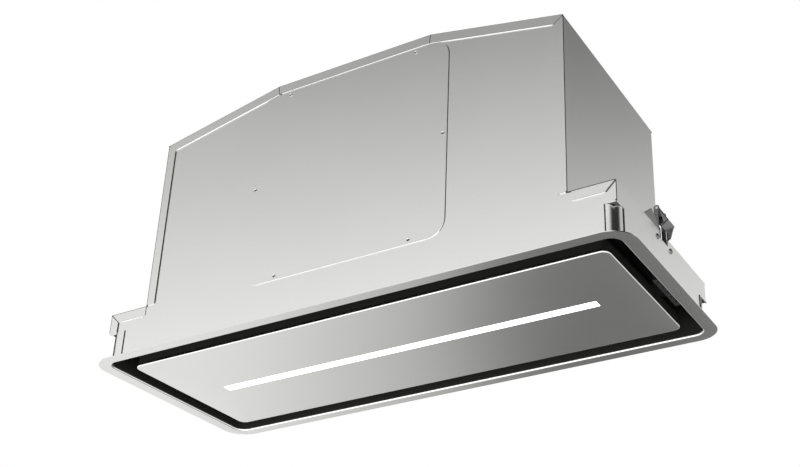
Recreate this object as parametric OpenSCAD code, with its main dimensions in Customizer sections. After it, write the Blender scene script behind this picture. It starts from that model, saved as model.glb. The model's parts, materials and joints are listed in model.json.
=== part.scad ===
// Built-in range hood insert that draws air in round a hinged, lit panel.
// +Z is up, X runs along the width, -Y is the side with the access cover,
// and the origin is the centre of the rim's underside.

/* [Rim] */
// Width of the rim, end to end
rim_w = 700; // [690:1:760]
// Depth of the rim, front to rear
rim_d = 283; // [275:1:310]
// How far the rim stands out past the casing's ends
rim_over_x = 15; // [12:0.5:22]
// How far the rim stands out past the front and rear walls
rim_over_y = 13; // [12:0.5:22]
// Thickness of the rim's sheet
rim_sheet = 1; // [0.8:0.1:1.2]
// Radius of the rim's outer corners
rim_corner_r = 30; // [20:1:40]
// Outer radius of the upstand's corners
upstand_corner_r = 15; // [10:1:20]
// Height of the upstand
upstand_h = 40; // [32:1:41]

/* [Casing] */
// Thickness of the casing's sheets
sheet = 0.8; // [0.6:0.1:1]
// Height of the wide collar
collar_h = 65; // [63:1:75]
// Width of the ledge at each end, from the collar in to the body
ledge_w = 54.5; // [45:0.5:62]
// Height of the flat crown
top_h = 330; // [325:1:340]
// Height of the slopes between the shoulders and the crown
slope_h = 35; // [28:1:45]
// Width of the flat crown
crown_w = 219; // [215:1:250]
// Width of the lips folded over the front and rear walls
lip_w = 12; // [8:1:16]
// Gap between neighbouring lips
lip_gap = 0.8; // [0.4:0.1:1.5]
// Width of the cut at each collar corner, along the front wall
corner_cut_x = 14; // [10:1:20]
// Width of the same cut along the end wall
corner_cut_y = 17; // [10:1:20]
// Height of the corner cuts
corner_cut_h = 40; // [30:1:42]
// Radius of the right end's upright edges
edge_round_r = 1.5; // [0.5:0.1:1.8]

/* [Access cover] */
// Width of the cover
cover_w = 270; // [240:1:300]
// Height of the cover's lower edge
cover_low = 54; // [45:1:62]
// Distance from the crown down to the cover's upper edge
cover_top_in = 14; // [14:1:25]
// Radius of the cover's corners
cover_r = 22; // [10:1:30]
// How much smaller the opening behind the cover is, on each side
cover_lap = 12; // [10:1:20]
// Distance from the cover's edge to its screws
cover_screw_in = 5; // [4:0.5:7]

/* [Suction gap and panel] */
// Clear gap between the upstand and the panel's short edges
gap_x = 20.5; // [16:0.5:24]
// Clear gap between the upstand and the panel's long edges
gap_y = 22; // [18:0.5:24]
// Height of the panel's face above the rim's underside
panel_z = 0.7; // [0.5:0.1:1.5]
// Thickness of the panel's face sheet
skin_t = 1; // [0.8:0.1:1.2]
// Outer radius of the fold along the panel's edge
skin_fold_r = 1.4; // [1.3:0.1:1.8]
// Height of the folded edge
skin_edge_h = 3; // [2.5:0.1:6]
// Radius of the panel's corners
panel_corner_r = 10; // [6:1:16]
// Depth of the box behind the face
panel_box_h = 14; // [13:0.5:15]
// Height of the deck that carries the filters
deck_z = 58; // [57:0.5:60]

/* [Light] */
// Distance from the panel's ends to the light slot
light_in = 57.7; // [45:0.1:110]
// Width of the light slot
light_w = 13; // [10:0.5:16]

/* [Filters] */
// Distance from the liner's ends to the filters
filter_in = 46.2; // [44:0.1:60]
// Clearance between the filters and the hinge plates
filter_clear = 2.2; // [2:0.1:8]
// Thickness of each filter
filter_t = 9; // [8:0.5:10]
// Number of lower baffles in each filter
baffle_count = 9; // [6:1:10]

/* [Blower] */
// Outer radius of the impeller
impeller_r = 74; // [66:1:76]
// Distance from the scroll's faces in to the ends of the impeller
impeller_in = 10; // [7:0.5:20]
// Number of blades round the impeller
blade_count = 36; // [24:1:40]
// How far the scroll's faces lie inside the spigot's radius
scroll_in = 5; // [2:0.5:6]
// Radius of the scroll at its tongue
scroll_r0 = 84; // [82:1:88]
// Radius of the scroll where it meets the outlet
scroll_r1 = 118; // [110:1:120]

/* [Outlet] */
// Outer radius of the duct spigot
spigot_r = 75; // [70:0.5:76]
// Height of the spigot above the crown
spigot_h = 42; // [38:1:46]

/* [Controls] */
// Radius of the push buttons
button_r = 3.5; // [2.5:0.1:4]
// Travel of the push buttons
button_travel = 0.8; // [0.5:0.1:1]
// Distance from one button to the next
button_pitch = 13; // [11:0.5:14]

/* [Hidden] */
$fn = 64;
small_fn = 32;
over = 1;
fit = 0.05;
slack = 0.2;
steel = [0.78, 0.78, 0.77];
black = [0.09, 0.09, 0.09];
zinc = [0.62, 0.64, 0.66];

collar_x = rim_w / 2 - rim_over_x;
collar_y = rim_d / 2 - rim_over_y;
body_x = collar_x - ledge_w;
crown_x = crown_w / 2;
shoulder_h = top_h - slope_h;
cover_high = top_h - cover_top_in;
rim_clear = 0.15;
rim_bend = sheet + rim_clear;
rim_fold_r = rim_sheet + rim_bend;
wall_foot = rim_fold_r;
upstand_x = collar_x - sheet;
upstand_y = collar_y - sheet;

// Casing slots and the relief cuts beside the body
slot_w = 1.8;
slot_low = 9;
slot_in_x = 24.5;
slot_in_y = 22.5;
relief_l = 10;
relief_w = 0.8;
lip_tail = 3;
lip_round = 4;
ledge_trim = 5;

// Screws: one head and shank for the casing, and a smaller one for the cover
screw_head_r = 3.2;
screw_head_h = 1.8;
screw_shank_r = 1.75;
screw_l = 6;
rivet_head_r = 2.2;
rivet_head_h = 0.8;
rivet_shank_r = 1.2;
rivet_l = 2 * sheet + rim_sheet - slack;
screw_taper_share = 0.75;
cover_screw_x = 90;

// Liner of the suction gap and its deck
liner_t = 0.6;
liner_x = upstand_x - rim_sheet;
liner_y = upstand_y - rim_sheet;
liner_r = upstand_corner_r - rim_sheet;
deck_t = 0.8;
panel_x = liner_x - gap_x;
panel_y = liner_y - gap_y;

// Places of the panel's hinges along its rear edge
hinge_in_x = 62.5;
hinge_in_y = 7;
hinge_x = panel_x - hinge_in_x;
hinge_y = panel_y - hinge_in_y;
hinge_plate_y = 13;

// Filters side by side under the deck, and their spring clips
filter_gap = 6;
filter_l = liner_x - filter_in - filter_gap / 2;
filter_d = 2 * (hinge_y - hinge_plate_y / 2 - filter_clear);
filter_seat = 8;
filter_x = (filter_l + filter_gap) / 2;
filter_top = deck_z - slack;
filter_low = filter_top - filter_t;
filter_border = 11;
filter_corner_r = 4;
clip_w = 14;
clip_t = 0.8;
clip_h = 12;
clip_x_share = 0.35;

// Baffles: a lower row of upturned channels under an upper row of downturned ones
baffle_sheet = 0.6;
baffle_h = 4;
baffle_span = filter_l - 2 * filter_border;
baffle_pitch = baffle_span / baffle_count;
baffle_w_share = 0.66;
rail_t = 1.5;

// Folding pull under each filter
pull_wire_r = 1.25;
pull_w = 40;
pull_reach = 10;
pull_lug_w = 4;
pull_lug_h = 3.6;
pull_lug_gap = 1.5;
pull_end = 1.5;
pull_in = 6;

// Box behind the panel's face
box_t = 0.8;
box_x = panel_x - skin_fold_r;
box_y = panel_y - skin_fold_r;
box_r = panel_corner_r - skin_fold_r;
box_low = panel_z + skin_t;
box_top = panel_z + panel_box_h + skin_t;

// Light bar
light_l = 2 * (panel_x - light_in);
light_corner_r = 1;
light_fit = 0.3;
light_flange = 2.2;
light_flange_t = 1.4;
lamp_wall = 1.2;
lamp_side = 4.5;
lamp_end = 7;
lamp_w = light_w + 2 * lamp_side;
lamp_l = light_l + 2 * lamp_end;
lamp_h = 9.5;
board_t = 1.6;
chip_count = 34;
chip_l = 3.5;
chip_w = 2.8;
chip_h = 0.8;
board_side = 1.6;

// Panel hinges: eyes, arms, feet and pins
hinge_lift = 6.3;
hinge_z = box_top + hinge_lift;
hinge_pin_r = 2;
hinge_eye_r = 4.8;
hinge_arm_t = 4;
hinge_ear_t = 1.5;
hinge_gap = 0.3;
hinge_plate_w = 24;
hinge_foot_l = 18;
hinge_foot_w = 16;
hinge_foot_t = 1.2;
hinge_arm_reach = 26;
pin_head_r = 3.2;
pin_head_t = 1;

// Magnet catches along the front edge
catch_in_x = 112;
catch_in_y = 3;
catch_w = 30;
catch_d = 9;
catch_x = panel_x - catch_in_x;
catch_y = -(box_y - catch_in_y - catch_d / 2);
strike_t = 1;
strike_gap = 0.3;
magnet_h = 5;

// Blower: impeller axis along Y, outlet straight up
throat_share = 0.58;
fan_x = -(scroll_r1 * throat_share);
fan_lift = 12;
scroll_t = 1;
tongue_angle = 75;
scroll_step = 7.5;
scroll_top = top_h - sheet;
flange_w = 14;
flange_t = 1.2;
blade_depth = 13;
scroll_w = 2 * (spigot_r - scroll_in);
impeller_l = scroll_w - 2 * impeller_in;
inlet_lap = 12;
inlet_r = impeller_r - inlet_lap;
bell_r = 6;
bell_t = 1;
blade_in_r = impeller_r - blade_depth;
blade_t = 1;
blade_lean = 14;
blade_steps = 4;
ring_h = 3;
ring_w = 5;
disc_t = 2;
hub_r = 12;
hub_l = 20;
shaft_r = 4;
motor_r = 45;
motor_front = 13;
mount_h = 6;
arm_t = 2;
motor_rear = scroll_w / 2 + mount_h;
mount_screw_l = mount_h + arm_t + scroll_t;
motor_cap_r = 38;
motor_cap_h = 6;
motor_fin_count = 18;
motor_fin_w = 2;
motor_fin_h = 1.5;
mount_r = 7;
mount_out = 3;
mount_orbit = inlet_r + bell_r + mount_out + mount_r;
arm_w = 14;
arm_hub_r = 34;
arm_angles = [30, 150, 270];
blower_screw_in = 5;

// Spigot with two non-return flaps
spigot_t = 1;
spigot_flange_w = 15;
spigot_flange_r = spigot_r + spigot_flange_w;
spigot_flange_t = 1;
collar_screw_in = 6;
collar_screw_orbit = spigot_flange_r - collar_screw_in;
collar_screw_angles = [20, 160, 200, 340];
flap_lift = 14;
flap_pin_z = top_h + spigot_flange_t + flap_lift;
flap_pin_r = 1.5;
flap_t = 1.2;
flap_gap = 0.7;
knuckle_r = 3;
knuckle_l = 12;
knuckle_shares = [0.2, 0.62];
flap_clear = 0.6;
stop_w = 8;
stop_reach = 5;
stop_t = 1;

// Electronics on the left end wall
box_wall = 2;
ebox_x = 42;
ebox_y = 120;
ebox_z = 90;
ebox_lift = 100;
ebox_low = collar_h + ebox_lift;
ebox_lid_t = 2;
pcb_t = 1.6;
pcb_in = 6;
pcb_post = 8;
coil_x = 18;
coil_y = 34;
coil_z = 30;
relay_x = 14;
relay_y = 12;
relay_z = 18;
relay_count = 3;
terminal_x = 12;
terminal_y = 9;
terminal_z = 16;
terminal_count = 4;
capacitor_r = 18;
capacitor_l = 62;
capacitor_y = -20;
capacitor_drop = 27;
capacitor_z = ebox_low - capacitor_drop - capacitor_r;
capacitor_cap_l = 8;
gland_y = 35;
gland_up = 25;
gland_z = ebox_low + gland_up;
gland_r = 8;
gland_bore_r = 4.5;
gland_hex_r = 11;
gland_hex_h = 6;
gland_dome_h = 12;
gland_nut_h = 4;

// Sprung clamps at the middle of both ends
clamp_sheet = 1;
clamp_base_w = 52;
clamp_base_drop = 20;
clamp_screw_y = 19;
clamp_screw_drop = 11;
clamp_tongue_w = 21;
clamp_tongue_h = 22.5;
clamp_cheek_w = 6.6;
clamp_cheek_foot = 5;
clamp_window_w = 23;
clamp_window_drop = 9;
clamp_window_in = 12;
clamp_window_up = 10;
clamp_pin_r = 1.5;
clamp_eye_r = 2.6;
clamp_pin_in = 2.7;
clamp_pin_up = 30;
clamp_base_low = collar_h - clamp_base_drop;
clamp_window_low = collar_h - clamp_window_drop;
clamp_pin_x = collar_x - clamp_pin_in;
clamp_pin_z = collar_h + clamp_pin_up;
claw_t = 1.2;
claw_gap = 0.35;
claw_out = 13;
claw_drop = 18;
claw_tip_in = 5;
claw_tip_drop = 3;
claw_tab_w = 4.5;
claw_tab_drop = 34;
claw_tab_t = 1.2;
claw_swing = 15;
notch_drop = clamp_pin_up - clamp_window_up + 3 * claw_gap;
notch_x = (clamp_pin_in - sheet + claw_gap) / cos(claw_swing) + notch_drop * tan(claw_swing);
ear_l = 42.5;
ear_h = 9.5;
ear_peak_share = 0.86;
ear_low_share = 0.33;
ear_tilt = 45;

// Control strip in the suction gap, at the right end
strip_x = 13;
strip_z = 12;
strip_low = 12;
strip_y = 32;
strip_wall = 1.6;
strip_side = 8;
button_out = 1.2;
button_flange = 0.8;
button_flange_h = 1;
button_fit = 0.08;
button_count = 5;
button_stem_h = 2.4;
switch_w = 6;
switch_gap = 0.3;
switch_h = 3;
control_board_t = 1.2;
strip_l = button_pitch * (button_count - 1) + 2 * strip_side;

function unit(v) = v / norm(v);
function left_of(v) = [-v[1], v[0]];
function edge_normal(pts, k) = left_of(unit(pts[k + 1] - pts[k]));
function corner_shift(a, b) = (a + b) / (1 + a * b);

// An open outline moved to its left by d, with its corners mitred
function inset(pts, d) = [for (k = [0 : len(pts) - 1])
    pts[k] + d * (k == 0 ? edge_normal(pts, 0)
        : k == len(pts) - 1 ? edge_normal(pts, k - 1)
        : corner_shift(edge_normal(pts, k - 1), edge_normal(pts, k)))];

// The closed strip between an open outline and its inset, from corner i to corner j
function strip(pts, inner, i, j) = concat([for (k = [i : j]) pts[k]], [for (k = [j : -1 : i]) inner[k]]);

outline = [
    [collar_x, wall_foot], [collar_x, collar_h], [body_x, collar_h], [body_x, shoulder_h], [crown_x, top_h],
    [-crown_x, top_h], [-body_x, shoulder_h], [-body_x, collar_h], [-collar_x, collar_h], [-collar_x, wall_foot]];
casing_inner = inset(outline, sheet);
lip_line = inset(outline, lip_w);

// Four corners of the lip along edge k, square or mitred at each end
function lip_points(k, a_square, b_square, a_trim, b_trim) = let(
    a = outline[k], b = outline[k + 1], along = unit(b - a), in = edge_normal(outline, k) * lip_w,
    a_in = a_square ? a + in : lip_line[k], b_in = b_square ? b + in : lip_line[k + 1])
    [a + along * a_trim, b - along * b_trim, b_in - along * b_trim, a_in + along * a_trim];

// The scroll's line: down the tongue, round the spiral and up the far side of the throat
function scroll_radius(a) = scroll_r0 + (scroll_r1 - scroll_r0) * (a - tongue_angle) / (360 - tongue_angle);
function scroll_point(a) = [fan_x, fan_z] + scroll_radius(a) * [cos(a), sin(a)];
fan_z = deck_z + deck_t + fan_lift + scroll_radius(270);
scroll_line = concat(
    [[scroll_point(tongue_angle)[0], scroll_top - flange_t]],
    [for (a = [tongue_angle : scroll_step : 360]) scroll_point(a)],
    [[fan_x + scroll_r1, scroll_top - flange_t]]);
scroll_inner = inset(scroll_line, scroll_t);
throat_low_x = scroll_line[0][0];
throat_high_x = fan_x + scroll_r1;

module along_x(l) rotate([90, 0, 90]) linear_extrude(l, center = true) children();
module along_y(l) rotate([90, 0, 0]) linear_extrude(l, center = true) children();
module both_ends() for (turn = [0, 180]) rotate(turn) children();
module both_faces() for (m = [0, 1]) mirror([0, m, 0]) children();

module plate_2d(hx, hy, r) {
    square([2 * hx, 2 * (hy - r)], center = true);
    square([2 * (hx - r), 2 * hy], center = true);
    for (sx = [-1, 1], sy = [-1, 1]) translate([sx * (hx - r), sy * (hy - r)]) circle(r);
}

// Runs a profile round a rounded rectangle. The profile's x is how far it lies outside the face.
module swept(hx, hy, r) {
    for (turn = [0, 180]) rotate(turn) translate([hx, 0, 0]) along_y(2 * (hy - r)) children();
    for (turn = [90, 270]) rotate(turn) translate([hy, 0, 0]) along_y(2 * (hx - r)) children();
    for (sx = [0, 1], sy = [0, 1]) mirror([sx, 0, 0]) mirror([0, sy, 0])
        translate([hx - r, hy - r, 0]) rotate_extrude(angle = 90) translate([r, 0]) children();
}

// A screw along +Z with its head's underside at zero and its shank below
module screw(head_r, head_h, shank_r, shank_l) {
    cylinder(head_h, head_r, head_r * screw_taper_share, $fn = small_fn);
    translate([0, 0, -shank_l]) cylinder(shank_l + head_h / 2, r = shank_r, $fn = small_fn);
}

module casing_screw() screw(screw_head_r, screw_head_h, screw_shank_r, screw_l);

module corner_cuts() for (sx = [-1, 1], sy = [-1, 1])
    translate([sx * collar_x, sy * collar_y, corner_cut_h / 2])
        cube([2 * corner_cut_x, 2 * corner_cut_y, corner_cut_h], center = true);

module tab_slots() both_ends() {
    translate([-collar_x + slot_in_x - slot_w / 2, -collar_y - over, slot_low])
        cube([slot_w, sheet + rim_sheet + 2 * over, corner_cut_h - slot_low]);
    translate([-collar_x - over, -collar_y + slot_in_y - slot_w / 2, slot_low])
        cube([sheet + rim_sheet + 2 * over, slot_w, corner_cut_h - slot_low]);
}

module relief_slots() both_ends()
    translate([body_x - relief_l, -collar_y - over, collar_h])
        cube([relief_l, sheet + 2 * over, relief_w]);

// What rounds the upright edges where the right end meets the front and rear walls
module edge_round_2d() difference() {
    translate([-edge_round_r, -over]) square([edge_round_r + over, edge_round_r + over]);
    translate([-edge_round_r, edge_round_r]) circle(edge_round_r, $fn = small_fn);
    translate([-edge_round_r - over, edge_round_r]) square([edge_round_r + over, 2 * over]);
}

module edge_rounds() both_faces() {
    translate([collar_x, -collar_y, 0]) linear_extrude(collar_h + over) edge_round_2d();
    translate([body_x, -collar_y, collar_h]) linear_extrude(shoulder_h - collar_h) edge_round_2d();
}

module cover_screw_places() {
    z_mid = (cover_low + cover_high) / 2;
    for (sx = [-1, 1]) {
        for (z = [cover_low + cover_screw_in, cover_high - cover_screw_in])
            translate([sx * cover_screw_x, -collar_y - sheet, z]) rotate([90, 0, 0]) children();
        translate([sx * (cover_w / 2 - cover_screw_in), -collar_y - sheet, z_mid]) rotate([90, 0, 0]) children();
    }
}

module wall_sheet(side) difference() {
    translate([0, side * (collar_y - sheet / 2), 0]) along_y(sheet) polygon(casing_inner);
    corner_cuts();
    tab_slots();
    relief_slots();
    edge_rounds();
}

module cover_outline(lap) translate([0, (cover_low + cover_high) / 2])
    plate_2d(cover_w / 2 - lap, (cover_high - cover_low) / 2 - lap, cover_r - lap / 2);

module front_wall() color(steel) difference() {
    wall_sheet(-1);
    translate([0, -collar_y, 0]) along_y(2 * (sheet + over)) cover_outline(cover_lap);
    cover_screw_places() cylinder(2 * rivet_l, r = rivet_shank_r + fit, center = true, $fn = small_fn);
}

module rear_wall() color(steel) wall_sheet(1);

module lip(k, a_square, b_square, a_trim, b_trim) both_faces()
    translate([0, -collar_y - sheet / 2, 0]) along_y(sheet)
        polygon(lip_points(k, a_square, b_square, a_trim, b_trim));

// Collar lip with a rounded lower end, below the left ledge
module tail_lip() both_faces() translate([0, -collar_y - sheet / 2, 0]) along_y(sheet) {
    end_z = corner_cut_h - lip_tail;
    shift = lip_gap / 2;
    polygon([[-collar_x, collar_h - shift], [-collar_x, end_z + lip_round],
        [-collar_x + lip_w, end_z + lip_round], [-collar_x + lip_w, collar_h - lip_w - shift]]);
    translate([-collar_x + lip_round, end_z + lip_round]) circle(lip_round, $fn = small_fn);
    translate([-collar_x + lip_round, end_z]) square([lip_w - lip_round, lip_round + fit]);
}

module clamp_window(end) translate([end * collar_x, 0, (clamp_window_low + collar_h + over) / 2])
    cube([2 * clamp_window_in, clamp_window_w, collar_h + over - clamp_window_low], center = true);

module clamp_screw_places(end) rotate(end > 0 ? 0 : 180) for (sy = [-1, 1])
    translate([collar_x, sy * clamp_screw_y, collar_h - clamp_screw_drop]) rotate([0, 90, 0]) children();

module screw_hole(l) cylinder(2 * l, r = screw_shank_r + fit, center = true, $fn = small_fn);

module end_sheet(i, end) difference() {
    along_y(2 * collar_y) polygon(strip(outline, casing_inner, i, i + 3));
    corner_cuts();
    tab_slots();
    clamp_window(end);
    clamp_screw_places(end) screw_hole(screw_l);
}

module gland_place() translate([-body_x, gland_y, gland_z]) rotate([0, -90, 0]) children();

module left_end() color(steel) {
    difference() {
        end_sheet(6, -1);
        gland_place() cylinder(2 * over + 2 * sheet, r = gland_r + fit, center = true, $fn = small_fn);
    }
    lip(6, false, true, lip_gap / 2, lip_gap);
    lip(7, true, false, lip_gap, lip_gap / 2);
    tail_lip();
}

module right_end() color(steel) {
    difference() {
        end_sheet(0, 1);
        edge_rounds();
    }
    lip(1, false, true, lip_gap / 2, ledge_trim);
}

module blower_screw_places() for (x = [throat_low_x - flange_w + blower_screw_in,
        throat_high_x + flange_w - blower_screw_in], sy = [-1, 1])
    translate([x, sy * (scroll_w / 2 + flange_w - blower_screw_in), top_h]) children();

module collar_screw_places() for (a = collar_screw_angles)
    rotate(a) translate([collar_screw_orbit, 0, top_h + spigot_flange_t]) children();

module top_cover() color(steel) {
    difference() {
        along_y(2 * collar_y) polygon(strip(outline, casing_inner, 3, 6));
        translate([0, 0, top_h]) cylinder(2 * over + 2 * sheet, r = spigot_r - spigot_t, center = true);
        blower_screw_places() screw_hole(screw_l);
        collar_screw_places() screw_hole(screw_l);
    }
    for (k = [3 : 5]) lip(k, false, false, lip_gap / 2, lip_gap / 2);
}

module access_cover() color(steel) difference() {
    translate([0, -collar_y - sheet / 2, 0]) along_y(sheet) cover_outline(0);
    cover_screw_places() cylinder(2 * rivet_l, r = rivet_shank_r + fit, center = true, $fn = small_fn);
}

module cover_screws() color(zinc) cover_screw_places()
    screw(rivet_head_r, rivet_head_h, rivet_shank_r, rivet_l);

module rim_fold_2d() {
    translate([rim_bend, rim_fold_r]) intersection() {
        difference() {
            circle(rim_fold_r, $fn = small_fn);
            circle(rim_bend, $fn = small_fn);
        }
        translate([-rim_fold_r, -rim_fold_r]) square(rim_fold_r);
    }
    translate([-rim_sheet, rim_fold_r]) square([rim_sheet, upstand_h - rim_fold_r]);
}

module rim_frame() color(steel) {
    linear_extrude(rim_sheet) difference() {
        plate_2d(rim_w / 2, rim_d / 2, rim_corner_r);
        plate_2d(upstand_x + rim_bend, upstand_y + rim_bend, upstand_corner_r + rim_bend);
    }
    difference() {
        swept(upstand_x, upstand_y, upstand_corner_r) rim_fold_2d();
        tab_slots();
    }
}

module gap_liner() color(black) {
    translate([0, 0, rim_fold_r]) linear_extrude(deck_z - rim_fold_r) difference() {
        plate_2d(liner_x, liner_y, liner_r);
        plate_2d(liner_x - liner_t, liner_y - liner_t, liner_r - liner_t);
    }
    translate([0, 0, deck_z]) linear_extrude(deck_t) difference() {
        plate_2d(liner_x, liner_y, liner_r);
        for (sx = [-1, 1]) translate([sx * filter_x, 0])
            square([filter_l - 2 * filter_seat, filter_d - 2 * filter_seat], center = true);
    }
}

module filter_clips() color(zinc) for (sx = [-1, 1], side = [-1, 1], k = [-1, 1])
    translate([sx * filter_x + k * clip_x_share * filter_l,
        side * (filter_d / 2 + slack + clip_t / 2), deck_z - clip_h / 2])
        cube([clip_w, clip_t, clip_h], center = true);

module filter_frame(sx) color(black) {
    difference() {
        translate([sx * filter_x, 0, filter_low]) linear_extrude(filter_t) difference() {
            plate_2d(filter_l / 2, filter_d / 2, filter_corner_r);
            square([baffle_span, filter_d - 2 * filter_border], center = true);
        }
    }
    lug_x = pull_w / 2 + pull_wire_r + pull_lug_gap + pull_lug_w / 2;
    for (k = [-1, 1]) translate([sx * filter_x + k * lug_x, -filter_d / 2 + pull_in, filter_low - pull_lug_h / 2])
        difference() {
            cube([pull_lug_w, 2 * pull_lug_h, pull_lug_h], center = true);
            rotate([0, 90, 0]) cylinder(pull_lug_w + over, r = pull_wire_r + fit, center = true, $fn = small_fn);
        }
}

// One baffle: a channel whose open side looks up or, turned over, down
module baffle_2d(turned) {
    w = baffle_pitch * baffle_w_share;
    z_bed = turned ? baffle_h - baffle_sheet : 0;
    translate([-w / 2, z_bed]) square([w, baffle_sheet]);
    for (s = [-1, 1]) translate([s * (w - baffle_sheet) / 2, baffle_h / 2])
        square([baffle_sheet, baffle_h], center = true);
}

module filter_baffles(sx) color(zinc) translate([sx * filter_x, 0, filter_low]) {
    span_y = filter_d - 2 * filter_border;
    for (k = [0 : baffle_count - 1])
        translate([-baffle_span / 2 + (k + 0.5) * baffle_pitch, 0, 0]) along_y(span_y) baffle_2d(false);
    for (k = [1 : baffle_count - 1])
        translate([-baffle_span / 2 + k * baffle_pitch, 0, filter_t - baffle_h]) along_y(span_y) baffle_2d(true);
    for (side = [-1, 1]) translate([0, side * (span_y - rail_t) / 2, filter_t / 2])
        cube([baffle_span, rail_t, filter_t], center = true);
}

// Wire bail, hanging under the filter's front edge
module filter_pull(sx) color(zinc)
    translate([sx * filter_x, -filter_d / 2 + pull_in, filter_low - pull_lug_h / 2]) {
        stub = pull_wire_r + pull_lug_gap + pull_lug_w + pull_end;
        for (k = [-1, 1]) translate([k * pull_w / 2, 0, 0]) {
            rotate([0, k * 90, 0]) cylinder(stub, r = pull_wire_r, $fn = small_fn);
            rotate([180, 0, 0]) cylinder(pull_reach, r = pull_wire_r, $fn = small_fn);
            for (drop = [0, pull_reach]) translate([0, 0, -drop]) sphere(pull_wire_r, $fn = small_fn);
        }
        translate([0, 0, -pull_reach]) rotate([0, 90, 0])
            cylinder(pull_w, r = pull_wire_r, center = true, $fn = small_fn);
    }

module skin_fold_2d() {
    translate([-skin_fold_r, skin_fold_r]) intersection() {
        difference() {
            circle(skin_fold_r, $fn = small_fn);
            circle(skin_fold_r - skin_t, $fn = small_fn);
        }
        translate([0, -skin_fold_r]) square(skin_fold_r);
    }
    translate([-skin_t, skin_fold_r]) square([skin_t, skin_edge_h - skin_fold_r]);
}

module panel_skin() color(steel) translate([0, 0, panel_z]) {
    linear_extrude(skin_t) difference() {
        plate_2d(panel_x - skin_fold_r, panel_y - skin_fold_r, panel_corner_r - skin_fold_r);
        plate_2d(light_l / 2, light_w / 2, light_corner_r);
    }
    swept(panel_x, panel_y, panel_corner_r) skin_fold_2d();
}

module panel_box() color(black) {
    translate([0, 0, box_low]) linear_extrude(box_top - box_low) difference() {
        plate_2d(box_x, box_y, box_r);
        plate_2d(box_x - box_t, box_y - box_t, box_r - box_t);
    }
    translate([0, 0, box_top - box_t]) linear_extrude(box_t) plate_2d(box_x, box_y, box_r);
}

module lamp_housing() color(zinc) translate([0, 0, box_low + lamp_h / 2]) difference() {
    cube([lamp_l, lamp_w, lamp_h], center = true);
    translate([0, 0, -lamp_wall])
        cube([lamp_l - 2 * lamp_wall, lamp_w - 2 * lamp_wall, lamp_h], center = true);
}

module led_board() color("white") {
    board_top = box_low + lamp_h - lamp_wall;
    translate([0, 0, board_top - board_t / 2])
        cube([light_l, lamp_w - 2 * lamp_wall - 2 * board_side, board_t], center = true);
    for (k = [0 : chip_count - 1])
        translate([((k + 0.5) / chip_count - 0.5) * light_l, 0, board_top - board_t])
            cube([chip_l, chip_w, 2 * chip_h], center = true);
}

module light_diffuser() color("white") {
    translate([0, 0, panel_z]) linear_extrude(skin_t)
        plate_2d((light_l - light_fit) / 2, (light_w - light_fit) / 2, light_corner_r);
    translate([0, 0, box_low]) linear_extrude(light_flange_t)
        plate_2d(light_l / 2 + light_flange, light_w / 2 + light_flange, light_corner_r);
}

module hinge_places() for (sx = [-1, 1]) translate([sx * hinge_x, hinge_y, hinge_z]) children();

module hinge_brackets() color(black) hinge_places() {
    ear_x = hinge_arm_t / 2 + hinge_gap + hinge_ear_t / 2;
    for (k = [-1, 1]) translate([k * ear_x, 0, 0]) along_x(hinge_ear_t) difference() {
        union() {
            circle(hinge_eye_r);
            translate([-hinge_eye_r, 0]) square([2 * hinge_eye_r, deck_z - hinge_z]);
        }
        circle(hinge_pin_r + fit, $fn = small_fn);
    }
    translate([0, 0, deck_z - hinge_z - hinge_ear_t / 2])
        cube([hinge_plate_w, hinge_plate_y, hinge_ear_t], center = true);
}

module hinge_pins() color(zinc) hinge_places() {
    pin_l = hinge_arm_t + 2 * (hinge_gap + hinge_ear_t);
    rotate([0, 90, 0]) cylinder(pin_l + 2 * fit, r = hinge_pin_r, center = true, $fn = small_fn);
    for (k = [-1, 1]) translate([k * (pin_l / 2 + fit + pin_head_t / 2), 0, 0]) rotate([0, 90, 0])
        cylinder(pin_head_t, r = pin_head_r, center = true, $fn = small_fn);
}

module hinge_arms() color(zinc) hinge_places() {
    bed = box_top - hinge_z;
    along_x(hinge_arm_t) difference() {
        union() {
            circle(hinge_eye_r);
            polygon([[0, -hinge_eye_r], [0, hinge_eye_r], [-hinge_arm_reach, bed + hinge_foot_t],
                [-hinge_arm_reach, bed], [-hinge_eye_r, bed]]);
        }
        circle(hinge_pin_r + fit, $fn = small_fn);
    }
    translate([-hinge_foot_w / 2, -hinge_arm_reach, bed])
        cube([hinge_foot_w, hinge_foot_l, hinge_foot_t]);
}

module catch_places() for (sx = [-1, 1]) translate([sx * catch_x, catch_y, 0]) children();

module strike_plates() color(zinc) catch_places()
    translate([0, 0, box_top + strike_t / 2]) cube([catch_w, catch_d, strike_t], center = true);

module catch_magnets() color(zinc) catch_places()
    translate([0, 0, box_top + strike_t + strike_gap + magnet_h / 2])
        cube([catch_w, catch_d, magnet_h], center = true);

module catch_posts() color(black) {
    low = box_top + strike_t + strike_gap + magnet_h;
    catch_places() translate([0, 0, (low + deck_z) / 2]) cube([catch_w, catch_d, deck_z - low], center = true);
}

module scroll_shell() color(zinc) {
    inner_w = scroll_w - 2 * scroll_t;
    along_y(inner_w) polygon(strip(scroll_line, scroll_inner, 0, len(scroll_line) - 1));
    mid_x = (throat_low_x + throat_high_x) / 2;
    throat_w = throat_high_x - throat_low_x;
    for (x = [throat_low_x, throat_high_x - scroll_t]) translate([x + scroll_t / 2, 0, scroll_top - flange_t])
        cube([scroll_t, inner_w, flange_t], center = true);
    difference() {
        translate([mid_x, 0, scroll_top - flange_t / 2])
            cube([throat_w + 2 * flange_w, scroll_w + 2 * flange_w, flange_t], center = true);
        translate([mid_x, 0, scroll_top])
            cube([throat_w - 2 * scroll_t, inner_w, 2 * flange_t + 2 * over], center = true);
        blower_screw_places() screw_hole(screw_l);
    }
}

module fan_axis() translate([fan_x, 0, fan_z]) rotate([-90, 0, 0]) children();

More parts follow.
